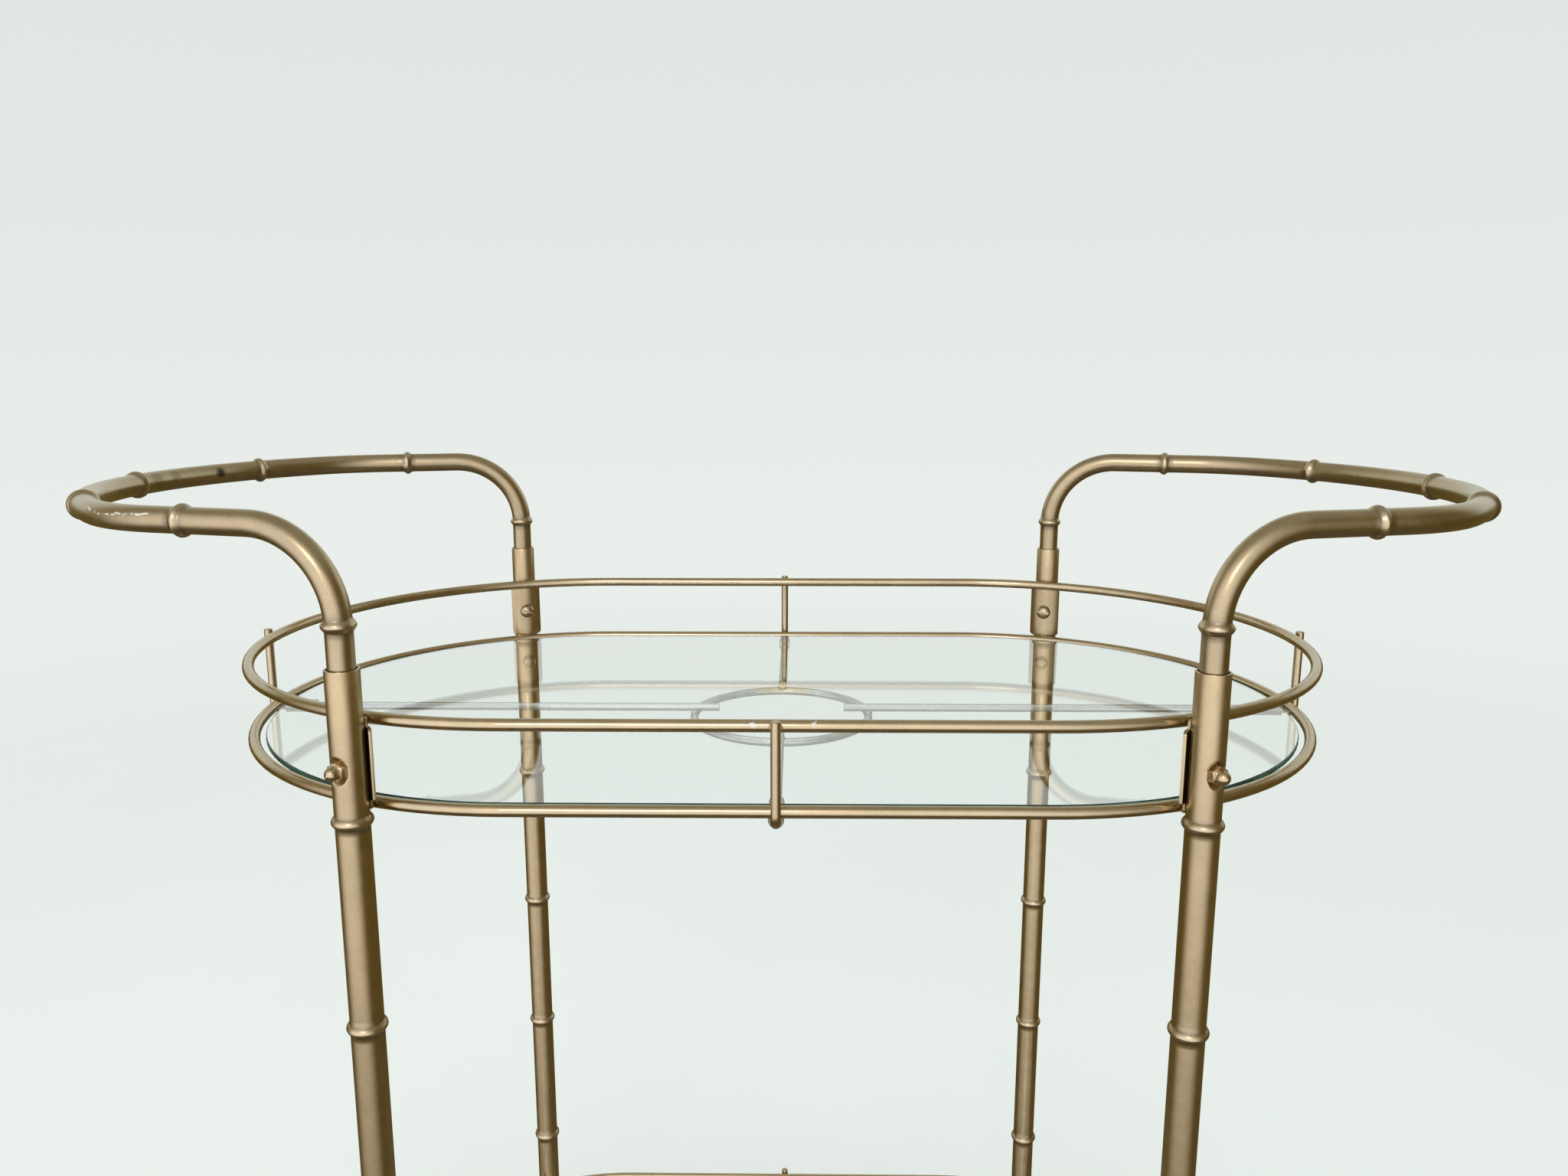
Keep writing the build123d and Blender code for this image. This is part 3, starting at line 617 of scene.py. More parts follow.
class Bench:
    """Steps that the pieces are modelled with."""

    @staticmethod
    def clear() -> None:
        """Deselect every object."""
        bpy.ops.object.select_all(action="DESELECT")
        bpy.context.view_layer.objects.active = None

    @staticmethod
    def take(*pieces: bpy.types.Object) -> None:
        """Select some pieces and nothing else.

        Args:
            pieces: The pieces, the active one first.
        """
        Bench.clear()
        for piece in pieces:
            piece.select_set(True)
        bpy.context.view_layer.objects.active = pieces[0]

    @staticmethod
    def settle(piece: bpy.types.Object) -> None:
        """Put a piece's place, turn and scale into its mesh."""
        Bench.take(piece)
        bpy.ops.object.transform_apply(location=True, rotation=True, scale=True)

    @staticmethod
    def open(piece: bpy.types.Object) -> None:
        """Enter edit mode with everything selected.

        Args:
            piece: The piece to edit.
        """
        Bench.take(piece)
        bpy.ops.object.mode_set(mode="EDIT")
        bpy.ops.mesh.select_mode(type="VERT")
        bpy.ops.mesh.select_all(action="SELECT")

    @staticmethod
    def pick(piece: bpy.types.Object, test: Callable[[Vector], bool]) -> None:
        """Select vertices by their place.

        Args:
            piece: The piece in edit mode.
            test: Whether a place is wanted.
        """
        bpy.ops.mesh.select_all(action="DESELECT")
        bpy.ops.object.mode_set(mode="OBJECT")
        piece.data.vertices.foreach_set("select", [test(vertex.co) for vertex in piece.data.vertices])
        bpy.ops.object.mode_set(mode="EDIT")

    @staticmethod
    def close(piece: bpy.types.Object, sharp: float = 40.0) -> bpy.types.Object:
        """Turn normals outward, leave edit mode and smooth the piece.

        Args:
            piece: The piece in edit mode.
            sharp: Edges steeper than this, in degrees, stay crisp.

        Returns:
            The piece.
        """
        bpy.ops.mesh.select_all(action="SELECT")
        bpy.ops.mesh.normals_make_consistent(inside=False)
        bpy.ops.object.mode_set(mode="OBJECT")
        bpy.ops.object.shade_smooth_by_angle(angle=math.radians(sharp))
        return piece

    @staticmethod
    def modify(piece: bpy.types.Object, kind: str, settings: Settings) -> None:
        """Add a modifier and apply it.

        Args:
            piece: The piece to change.
            kind: The modifier's type.
            settings: Its properties.
        """
        Bench.take(piece)
        modifier = piece.modifiers.new(kind.lower(), kind)
        for name, setting in settings.items():
            setattr(modifier, name, setting)
        bpy.ops.object.modifier_apply(modifier=modifier.name)

    @staticmethod
    def cut(piece: bpy.types.Object, tool: bpy.types.Object, operation: str) -> None:
        """Combine a piece with a tool, which is then removed."""
        Bench.modify(piece, "BOOLEAN", {"operation": operation, "object": tool, "solver": "EXACT"})
        bpy.data.objects.remove(tool)

    @staticmethod
    def bevel(piece: bpy.types.Object, width: float, degrees: float) -> None:
        """Round the edges that are steeper than an angle."""
        Bench.modify(piece, "BEVEL", {"width": width, "segments": 2, "angle_limit": math.radians(degrees)})


def name_piece(piece: bpy.types.Object, name: str) -> None:
    """Name a piece and its mesh."""
    piece.name = name
    piece.data.name = name


class Drawing:
    """A tube drawn out ring by ring from a circle."""

    def __init__(self, name: str, centre: Vector, heading: Vector, radius: float, sides: int) -> None:
        """Add the first ring.

        Args:
            name: The piece's name.
            centre: Middle of the ring.
            heading: Way the tube will run.
            radius: Radius of the ring.
            sides: Vertices in a ring.
        """
        Bench.clear()
        turn = heading.to_track_quat("Z", "Y").to_euler()
        bpy.ops.mesh.primitive_circle_add(vertices=sides, radius=radius, location=centre, rotation=turn)
        self.piece = bpy.context.object
        name_piece(self.piece, name)
        Bench.settle(self.piece)
        Bench.open(self.piece)
        self.first = (centre.copy(), heading.normalized(), radius)
        self.centre = centre.copy()
        self.heading = heading.normalized()
        self.radius = radius
        self.sides = sides
        self.marks: list[Span] = [(0.0, 0.0)]

    def run(self, length: float, radius: float, marks: Span = (0.0, 0.0)) -> None:
        """Extrude the last ring straight on.

        Args:
            length: How far, negative to come back inside.
            radius: The new ring's radius.
            marks: Its wear, and its painted shade with grime.
        """
        shift = self.heading * length
        bpy.ops.mesh.extrude_region_move(TRANSFORM_OT_translate={"value": shift})
        self.centre += shift
        self._size(radius, marks)

    def turn(self, pivot: Vector, axis: Vector, angle: float, radius: float, marks: Span) -> None:
        """Extrude the last ring round a pivot.

        Args:
            pivot: Point on the axis of the turn.
            axis: Axis, turned about by the right hand.
            angle: Turn in radians.
            radius: The new ring's radius.
            marks: Its wear, and its painted shade with grime.
        """
        bpy.ops.mesh.spin(steps=1, angle=-angle, center=pivot, axis=axis)
        about = Matrix.Rotation(angle, 3, axis)
        self.centre = pivot + about @ (self.centre - pivot)
        self.heading = about @ self.heading
        self._size(radius, marks)

    def _size(self, radius: float, marks: Span) -> None:
        """Scale the new ring and note its marks.

        Args:
            radius: The ring's radius.
            marks: Its wear, and its painted shade with grime.
        """
        if radius != self.radius:
            ratio = radius / self.radius
            bpy.ops.transform.resize(value=(ratio, ratio, ratio), center_override=self.centre)
        self.radius = radius
        self.marks.append(marks)

    def cap_ends(self) -> None:
        """Close the last ring, then the first."""
        bpy.ops.mesh.edge_face_add()
        Bench.pick(self.piece, self.in_first_ring)
        bpy.ops.mesh.edge_face_add()

    def in_first_ring(self, place: Vector) -> bool:
        """Whether a place is on the ring that the tube was drawn from."""
        centre, heading, radius = self.first
        return abs((place - centre).dot(heading)) < NEAR and (place - centre).length < radius + NEAR

    def write_marks(self) -> None:
        """Store each ring's wear, and its painted shade with grime, on its vertices."""
        for place, mark in enumerate(Mark):
            levels = [ring[place] for ring in self.marks for _ in range(self.sides)]
            levels += [0.0] * (len(self.piece.data.vertices) - len(levels))
            layer = self.piece.data.attributes.new(mark.value, "FLOAT", "POINT")
            layer.data.foreach_set("value", levels)


@dataclass(frozen=True)
class BeadShape:
    """The rolled bead of a tube, like the node of a cane."""

    half_width: float
    taper: float
    height: float = 1.65 * MM
    cuts: int = 8
    # width of the painted shade with grime at each foot
    shade_and_grime_width: float = 0.8 * MM

    def rise(self, offset: float) -> float:
        """Height over the tube at an offset along it from the bead's middle."""
        share = min(abs(offset) / self.half_width, 1.0)
        return self.height * (1 - share**2) ** self.taper

    def marks(self, offset: float) -> Span:
        """Wear on the crest, and painted shade with grime at the feet."""
        from_foot = (abs(offset) - self.half_width) / self.shade_and_grime_width
        return (self.rise(offset) / self.height) ** 2, math.exp(-(from_foot**2))

    def offsets(self) -> list[float]:
        """Where rings are needed along the bead, with two beyond its feet."""
        shares = [math.sin(QUARTER * step / self.cuts) for step in range(-self.cuts, self.cuts + 1)]
        return [self.half_width * share for share in (-2, *shares, 2)]


LEG_BEAD = BeadShape(half_width=2.9 * MM, taper=1.2)
HANDLE_BEAD = BeadShape(half_width=3.3 * MM, taper=2.0)


def dress(piece: bpy.types.Object, material: bpy.types.Material) -> None:
    """Give a new piece its finish.

    Args:
        piece: The piece.
        material: Its finish.
    """
    piece.data.materials.clear()
    piece.data.materials.append(material)
    LOG.info("built %s", piece.name)


def stand_in(piece: bpy.types.Object, node: str) -> bpy.types.Object:
    """Set a piece on the frame in a solid's place.

    Args:
        piece: The piece.
        node: The solid's name.

    Returns:
        The piece.
    """
    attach(piece, FRAME_BODY)
    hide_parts(node)
    return piece


def node_middle(node: str) -> Vector:
    """Middle of a solid's box."""
    low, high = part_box(node)
    return (low + high) / 2


def bolt_way(corner: str) -> Vector:
    """The way a corner's bolts point, outward."""
    leg = node_middle(f"leg_{corner}")
    return Vector((math.copysign(math.sin(BOLT_ANGLE), leg.x), math.copysign(math.cos(BOLT_ANGLE), leg.y), 0))


def bolt_point(shelf: str, corner: str) -> Vector:
    """Where a shelf's bolt crosses the axis of a leg.

    Args:
        shelf: Which shelf.
        corner: Which leg.

    Returns:
        The point, half-way between the shelf's rails.
    """
    leg = node_middle(f"leg_{corner}")
    height = (node_middle(f"{shelf}_upper_rail").z + node_middle(f"{shelf}_lower_rail").z) / 2
    return Vector((leg.x, leg.y, height))


def copy_to(pattern: bpy.types.Object, name: str, place: Vector, turn: Matrix) -> bpy.types.Object:
    """A copy of a modelled piece with its own mesh.

    Args:
        pattern: The piece, modelled at the origin.
        name: The copy's name.
        place: Where its origin goes.
        turn: How it is turned there.

    Returns:
        The copy, its place and turn in its mesh.
    """
    piece = pattern.copy()
    piece.data = pattern.data.copy()
    name_piece(piece, name)
    bpy.context.scene.collection.objects.link(piece)
    piece.matrix_world = Matrix.Translation(place) @ turn.to_4x4()
    Bench.settle(piece)
    return piece


def join(pieces: list[bpy.types.Object], name: str) -> bpy.types.Object:
    """Join pieces into the first.

    Args:
        pieces: The pieces.
        name: What the whole is called.

    Returns:
        The joined piece.
    """
    Bench.take(*pieces)
    bpy.ops.object.join()
    name_piece(pieces[0], name)
    return pieces[0]


@dataclass
class Legs:
    """The four legs: beaded tubes, dented where the nuts pull them against the saddles."""

    radius: float = 8.0 * MM
    wall: float = 1.0 * MM
    rim: float = 0.45 * MM
    mouth: float = 14.0 * MM
    plug_radius: float = 6.2 * MM
    sides: int = 64
    bead_count: int = 6
    first_bead_drop: float = 46.4 * MM
    dent_depth: float = 2.55 * MM
    dent_half_height: float = 4.0 * MM
    dent_half_width: float = 2.4 * MM
    dent_reach: float = 3.7 * MM
    dent_rings: int = 30

    def build(self, corner: str) -> bpy.types.Object:
        """Model one leg.

        Args:
            corner: Which leg.

        Returns:
            The piece.
        """
        node = f"leg_{corner}"
        low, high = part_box(node)
        axis = node_middle(node)
        bolts = [bolt_point(shelf, corner) for shelf in SHELVES]
        first_bead = node_middle("top_shelf_upper_rail").z - self.first_bead_drop
        beads = [first_bead - step * BEAD_PITCH for step in range(self.bead_count)]
        drawing = Drawing(f"{node}_tube", Vector((axis.x, axis.y, low.z)), UP, self.radius, self.sides)
        for height in self.ring_heights(low.z, high.z, beads, [bolt.z for bolt in bolts]):
            offset = min((height - bead for bead in beads), key=abs)
            drawing.run(height - drawing.centre.z, self.radius + LEG_BEAD.rise(offset), LEG_BEAD.marks(offset))
        self.turn_mouth(drawing)
        drawing.cap_ends()
        for bolt in bolts:
            self.press_dent(drawing.piece, bolt, bolt_way(corner))
        piece = Bench.close(drawing.piece)
        drawing.write_marks()
        return stand_in(piece, node)

    def ring_heights(self, foot: float, top: float, beads: list[float], bolts: list[float]) -> list[float]:
        """Heights of the outer rings, closer together on beads and dents.

        Args:
            foot: Height of the leg's lower end.
            top: Height of its upper end.
            beads: Heights of its beads.
            bolts: Heights of its bolts.

        Returns:
            The heights over the foot, the last one at the rim.
        """
        heights = {round(bead + offset, 6) for bead in beads for offset in LEG_BEAD.offsets()}
        span = self.dent_half_height + self.dent_reach
        step = 2 * span / self.dent_rings
        heights |= {round(bolt - span + step * ring, 6) for bolt in bolts for ring in range(self.dent_rings + 1)}
        inside = sorted(height for height in heights if foot < height < top - self.rim)
        return [*inside, top - self.rim]

    def turn_mouth(self, drawing: Drawing) -> None:
        """Round the rim, turn it into the mouth and run it in to the plugged-in handle.

        Args:
            drawing: The leg, at its last outer ring.
        """
        bore = self.radius - self.wall
        # each ring's marks are wear and painted shade with grime; the painted shade deepens into the mouth
        rings = (
            (0.7 * self.rim, self.radius - 0.3 * self.rim, (0.6, 0.0)),
            (0.3 * self.rim, self.radius - self.rim, (1.0, 0.0)),
            (0.0, bore + 0.3 * self.rim, (0.8, 0.2)),
            (-0.3 * self.rim, bore, (0.3, 0.6)),
            (-self.mouth, bore, (0.0, 1.0)),
            (0.0, self.plug_radius, (0.0, 0.0)),
        )
        for length, radius, marks in rings:
            drawing.run(length, radius, marks)

    def press_dent(self, piece: bpy.types.Object, bolt: Vector, outward: Vector) -> None:
        """Push the wall in under a nut.

        Args:
            piece: The leg in edit mode.
            bolt: Where the bolt crosses the leg's axis.
            outward: The way from there to the nut.
        """
        seat = bolt + outward * self.radius
        across = UP.cross(outward)

        def pressed(place: Vector) -> bool:
            """Whether a place lies under the nut."""
            side, lift = (place - seat).dot(across) / self.dent_half_width, (place - seat).z / self.dent_half_height
            return math.hypot(side, lift) < 1 and (place - seat).dot(outward) > -self.radius / 2

        Bench.pick(piece, pressed)
        bpy.ops.transform.translate(
            value=outward * -self.dent_depth, use_proportional_edit=True, use_proportional_connected=True,
            proportional_edit_falloff="SMOOTH", proportional_size=self.dent_reach)


@dataclass(frozen=True)
class Stretch:
    """A straight run of a bent tube, or a turn where it has a pivot."""

    length: float
    pivot: Vector | None = None
    axis: Vector | None = None
    radius: float = 0.0


@dataclass
class Handles:
    """The two push handles: loops of smaller beaded tube, plugged into the legs."""

    radius: float = 6.35 * MM
    sides: int = 48
    beads_each_side: int = 3
    bend_radius: float = 44.7 * MM
    end_radius: float = 188.5 * MM
    corner_radius: float = 88.6 * MM
    end_half_length: float = 142.2 * MM
    arc_step: float = 4.0 * MM
    ring_gap: float = 0.3 * MM  # the least

    def build(self, side_name: str) -> bpy.types.Object:
        """Model one handle from its front leg round to its back leg.

        Args:
            side_name: left or right.

        Returns:
            The piece.
        """
        node = f"handle_{side_name}"
        start, stretches = self.route(side_name)
        drawing = Drawing(f"{node}_loop", start, UP, self.radius, self.sides)
        self.draw(drawing, stretches)
        drawing.cap_ends()
        piece = Bench.close(drawing.piece)
        drawing.write_marks()
        return stand_in(piece, node)

    def route(self, side_name: str) -> tuple[Vector, list[Stretch]]:
        """The way of the tube's centreline.

        Args:
            side_name: left or right.

        Returns:
            Where it starts in the front leg, and its runs and turns.
        """
        low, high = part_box(f"handle_{side_name}")
        side = -1 if side_name == "left" else 1
        leg = node_middle(f"leg_front_{side_name}")
        reach = max(abs(low.x), abs(high.x)) - self.radius - HANDLE_BEAD.height
        height = high.z - self.radius - HANDLE_BEAD.height
        start = Vector((leg.x, leg.y, low.z))

        end_angle = self.end_half_length / self.end_radius
        middle_x = reach - self.end_radius
        hub_x = middle_x + (self.end_radius - self.corner_radius) * math.cos(end_angle)
        hub_y = (self.end_radius - self.corner_radius) * math.sin(end_angle)
        to_hub = math.hypot(abs(leg.x) - hub_x, abs(leg.y) - hub_y)
        lean = math.acos(self.corner_radius / to_hub) - math.atan2(hub_x - abs(leg.x), abs(leg.y) - hub_y)

        away = Vector((side * math.cos(lean), math.sin(lean), 0))
        home = Vector((-side * math.cos(lean), math.sin(lean), 0))
        bend_z = height - self.bend_radius
        rise = Stretch(bend_z - low.z)
        straight = Stretch(math.sqrt(to_hub**2 - self.corner_radius**2) - self.bend_radius)

        def bend(foot: Vector, way: Vector, sign: int) -> Stretch:
            """The quarter turn over a leg, to or from the level way."""
            return Stretch(QUARTER * self.bend_radius, foot + way * sign * self.bend_radius, UP.cross(way),
                           self.bend_radius)

        def arc(angle: float, x: float, y: float, radius: float) -> Stretch:
            """A level turn about a point of the plan."""
            return Stretch(angle * radius, Vector((side * x, y, height)), UP * side, radius)

        corner_turn = QUARTER - lean - end_angle
        return start, [
            rise,
            bend(Vector((leg.x, leg.y, bend_z)), away, 1),
            straight,
            arc(corner_turn, hub_x, -hub_y, self.corner_radius),
            arc(2 * end_angle, middle_x, 0, self.end_radius),
            arc(corner_turn, hub_x, hub_y, self.corner_radius),
            straight,
            bend(Vector((leg.x, -leg.y, bend_z)), home, -1),
            rise,
        ]

    def draw(self, drawing: Drawing, stretches: list[Stretch]) -> None:
        """Draw the tube along its runs and turns.

        Args:
            drawing: The tube, at its first ring.
            stretches: The runs and turns, in order.
        """
        middle = sum(stretch.length for stretch in stretches) / 2
        steps = range(-self.beads_each_side, self.beads_each_side + 1)
        beads = [middle + step * BEAD_PITCH for step in steps]
        begin = 0.0
        for stretch in stretches:
            here = begin
            end = begin + stretch.length
            for place in self.stations(begin, end, beads, stretch.pivot is not None):
                offset = min((place - bead for bead in beads), key=abs)
                radius = self.radius + HANDLE_BEAD.rise(offset)
                marks = HANDLE_BEAD.marks(offset)
                if stretch.pivot is None:
                    drawing.run(place - here, radius, marks)
                else:
                    drawing.turn(stretch.pivot, stretch.axis, (place - here) / stretch.radius, radius, marks)
                here = place
            begin = end

    def stations(self, begin: float, end: float, beads: list[float], curved: bool) -> list[float]:
        """Places of the rings along one run or turn.

        Args:
            begin: Where it starts along the tube.
            end: Where it ends.
            beads: Places of all beads.
            curved: Whether it needs even steps too.

        Returns:
            The places after begin, up to end.
        """
        places = {bead + offset for bead in beads for offset in HANDLE_BEAD.offsets()}
        if curved:
            count = math.ceil((end - begin) / self.arc_step)
            places |= {begin + (end - begin) * step / count for step in range(1, count)}
        kept = [end]
        for place in sorted((place for place in places if begin < place < end), reverse=True):
            if kept[-1] - place > self.ring_gap and place - begin > self.ring_gap:
                kept.append(place)
        return kept[::-1]


@dataclass
class Saddles:
    """Saddle plates between rails and legs: strips bent about the legs, with narrower tabs for the welds."""

    curve: float = 13.25 * MM
    thickness: float = 1.5 * MM
    half_width: float = 11.0 * MM
    half_height: float = 17.65 * MM
    rounding: float = 1.8 * MM
    tab_half_width: float = 5.35 * MM
    tab_reach: float = 22.45 * MM
    tab_rounding: float = 1.4 * MM
    edge: float = 0.3 * MM
    sharp: float = 40.0  # degrees
    columns: int = 24
    corner_steps: int = 6

    def model(self) -> bpy.types.Object:
        """Draw the flat outline row by row, then bend, thicken and soften it.

        Returns:
            A plate at the origin, hollow towards +Y.
        """
        Bench.clear()
        bpy.ops.mesh.primitive_grid_add(x_subdivisions=self.columns, y_subdivisions=1, size=2.0,
                                        rotation=(QUARTER, 0, 0))
        plate = bpy.context.object
        Bench.settle(plate)
        Bench.open(plate)
        Bench.pick(plate, lambda place: place.z > 0)
        bpy.ops.mesh.delete(type="VERT")
        bpy.ops.mesh.select_all(action="SELECT")
        levels = self.levels()
        width = self.width_at(levels[0])
        bpy.ops.transform.resize(value=(width, 1, 1), center_override=(0, 0, 0))
        bpy.ops.transform.translate(value=(0, 0, levels[0] + 1))
        for below, level in zip(levels, levels[1:]):
            bpy.ops.mesh.extrude_region_move(TRANSFORM_OT_translate={"value": (0, 0, level - below)})
            wider = self.width_at(level)
            bpy.ops.transform.resize(value=(wider / width, 1, 1), center_override=(0, 0, level))
            width = wider
        bpy.ops.object.mode_set(mode="OBJECT")
        bend = 2 * self.half_width / self.curve
        Bench.modify(plate, "SIMPLE_DEFORM", {"deform_method": "BEND", "deform_axis": "Z", "angle": bend})
        Bench.modify(plate, "SOLIDIFY", {"thickness": self.thickness, "offset": 0.0})
        Bench.bevel(plate, self.edge, self.sharp)
        Bench.open(plate)
        return Bench.close(plate)

    def levels(self) -> list[float]:
        """Rows of the outline.

        Returns:
            Their heights from the plate's middle, lowest first.
        """
        steps = [1 - math.cos(QUARTER * step / self.corner_steps) for step in range(self.corner_steps + 1)]
        upper = [self.tab_reach - self.tab_rounding * step for step in steps]
        upper += [self.half_height + 2 * NEAR]
        upper += [self.half_height - self.rounding * step for step in steps]
        return [-level for level in upper] + [0.0] + upper[::-1]

    def width_at(self, level: float) -> float:
        """Half the outline's width.

        Args:
            level: Height from the plate's middle.

        Returns:
            The half width there.
        """
        inside = self.half_height - abs(level)
        if inside < -NEAR:
            return self.tab_half_width - self.cut_back(self.tab_rounding, self.tab_reach - abs(level))
        return self.half_width - self.cut_back(self.rounding, inside)

    @staticmethod
    def cut_back(rounding: float, inside: float) -> float:
        """How far a rounded corner is cut back at a distance inside its edge."""
        gone = min(max(rounding - inside, 0.0), rounding)
        return rounding - math.sqrt(rounding**2 - gone**2)

    def build(self, leg_radius: float) -> list[bpy.types.Object]:
        """Place a plate at every corner of both shelves.

        Args:
            leg_radius: Radius of the legs that the plates rest on.

        Returns:
            The plates.
        """
        pattern = self.model()
        pieces = []
        for shelf in SHELVES:
            for corner in CORNERS:
                node = f"{shelf}_saddle_{corner}"
                outward = bolt_way(corner)
                place = bolt_point(shelf, corner) - outward * (leg_radius + self.thickness / 2)
                turn = Matrix.Rotation(math.atan2(outward.y, outward.x) - QUARTER, 3, "Z")
                pieces.append(stand_in(copy_to(pattern, f"{node}_plate", place, turn), node))
        bpy.data.objects.remove(pattern)
        return pieces


@dataclass
class Fasteners(ABC):
    """Fasteners of one kind, one on each bolt of a shelf."""

    kind: str
    group: str  # the node's name after its shelf's
    made: str
    side: int  # of the legs: 1 outside, -1 inside
    seat: float  # from a leg's axis
    turns: tuple[float, ...]  # degrees about the bolt, in the order of CORNERS

    @abstractmethod
    def model(self) -> bpy.types.Object:
        """Model one fastener on the origin, its head towards +Z."""

    def build(self, shelf: str) -> bpy.types.Object:
        """Place a shelf's four fasteners.

        Args:
            shelf: Which shelf.

        Returns:
            The fasteners as one piece.
        """
        pattern = self.model()
        copies = []
        for corner, degrees in zip(CORNERS, self.turns):
            way = bolt_way(corner) * self.side
            place = bolt_point(shelf, corner) + way * self.seat
            turn = way.to_track_quat("Z", "Y").to_matrix() @ Matrix.Rotation(math.radians(degrees), 3, "Z")
            copies.append(copy_to(pattern, f"{shelf}_{self.kind}_{corner}", place, turn))
        bpy.data.objects.remove(pattern)
        node = f"{shelf}_{self.group}"
        return stand_in(join(copies, f"{node}_{self.made}"), node)


@dataclass
class Nuts(Fasteners):
    """Acorn nuts, seated in the dents of the legs."""

    kind: str = "nut"
    group: str = "acorn_nuts"
    made: str = "turned"
    side: int = 1
    seat: float = 5.42 * MM
    turns: tuple[float, ...] = (0.0, 0.0, 0.0, 0.0)
    flats: float = 8.5 * MM
    hex_height: float = 4.0 * MM
    edge: float = 0.14 * MM
    bevelled: float = 20.0  # degrees
    sharp: float = 30.0
    chamfer: float = math.radians(32)
    chamfer_inset: float = 0.2 * MM
    dome_radius: float = 3.5 * MM
    dome_height: float = 4.75 * MM
    dome_root: float = 0.4 * MM  # of the dome's piece inside the hexagon
    nub_radius: float = 0.9 * MM
    nub_height: float = 0.2 * MM
    shoulder_radius: float = 3.65 * MM
    shoulder: float = 0.45 * MM
    sides: int = 40
    cone_sides: int = 72
    dome_steps: int = 9

    def model(self) -> bpy.types.Object:
        """Model one nut.

        Returns:
            The nut, standing on the origin.
        """
        blank = {"depth": self.hex_height, "location": (0, 0, self.hex_height / 2)}
        Bench.clear()
        bpy.ops.mesh.primitive_cylinder_add(vertices=6, radius=self.flats / math.sqrt(3), **blank)
        nut = bpy.context.object
        spread = self.hex_height / math.tan(self.chamfer)
        top_radius = self.flats / 2 - self.chamfer_inset
        bpy.ops.mesh.primitive_cone_add(vertices=self.cone_sides, radius1=top_radius + spread, radius2=top_radius,
                                        **blank)
        cone = bpy.context.object
        for piece in (nut, cone):
            Bench.settle(piece)
        Bench.cut(nut, cone, "INTERSECT")
        Bench.bevel(nut, self.edge, self.bevelled)
        Bench.open(nut)
        Bench.close(nut, self.sharp)
        return join([nut, self.turn_dome()], "acorn_nut")

    def turn_dome(self) -> bpy.types.Object:
        """Draw the shoulder, the dome and the nub at its tip.

        Returns:
            The dome, where it stands on the nut.
        """
        foot = Vector((0, 0, self.hex_height - self.dome_root))
        dome = Drawing("acorn_dome", foot, UP, self.shoulder_radius, self.sides)
        dome.run(self.dome_root + self.shoulder * 0.7, self.shoulder_radius)
        dome.run(self.shoulder * 0.3, self.shoulder_radius - self.shoulder * 0.3)
        dome.run(0.0, self.dome_radius)
        dome.run(self.dome_height - self.dome_radius - self.shoulder, self.dome_radius)
        last = math.acos(self.nub_radius / self.dome_radius)
        height = 0.0
        for step in range(1, self.dome_steps + 1):
            angle = last * step / self.dome_steps
            dome.run(self.dome_radius * math.sin(angle) - height, self.dome_radius * math.cos(angle))
            height = self.dome_radius * math.sin(angle)
        dome.run(self.nub_height, self.nub_radius * 0.8)
        dome.run(self.nub_height * 0.5, self.nub_radius * 0.45)
        dome.cap_ends()
        return Bench.close(dome.piece)


@dataclass
class Screws(Fasteners):
    """Slotted round-head screws inside the saddles."""

    kind: str = "screw"
    group: str = "screws"
    made: str = "slotted"
    side: int = -1
    seat: float = 9.54 * MM
    turns: tuple[float, ...] = (65.0, 112.0, 155.0, 174.0)
    head_radius: float = 5.0 * MM
    head_height: float = 4.1 * MM
    head_foot: float = 0.15 * MM
    dome_angle: float = math.radians(84)
    edge: float = 0.12 * MM
    sharp: float = 35.0  # degrees
    shank_radius: float = 2.5 * MM
    shank_length: float = 20.0 * MM
    slot_width: float = 1.3 * MM
    slot_depth: float = 1.7 * MM
    sides: int = 48
    dome_steps: int = 10

    def model(self) -> bpy.types.Object:
        """Model one screw.

        Returns:
            The screw, its head standing on the origin and its shank below.
        """
        screw = Drawing("slotted_screw", Vector((0, 0, -self.shank_length)), UP, self.shank_radius, self.sides)
        screw.run(self.shank_length, self.shank_radius)
        screw.run(0.0, self.head_radius - self.head_foot)
        screw.run(self.head_foot, self.head_radius)
        height = self.head_foot
        for step in range(1, self.dome_steps + 1):
            angle = self.dome_angle * step / self.dome_steps
            level = self.head_foot + (self.head_height - self.head_foot) * math.sin(angle)
            screw.run(level - height, self.head_radius * math.cos(angle))
            height = level
        screw.cap_ends()
        piece = Bench.close(screw.piece)
        bpy.ops.mesh.primitive_cube_add(size=1.0, location=(0, 0, self.head_height))
        cutter = bpy.context.object
        cutter.scale = (4 * self.head_radius, self.slot_width, 2 * self.slot_depth)
        Bench.settle(cutter)
        Bench.cut(piece, cutter, "DIFFERENCE")
        Bench.bevel(piece, self.edge, self.sharp)
        Bench.open(piece)
        return Bench.close(piece, self.sharp)


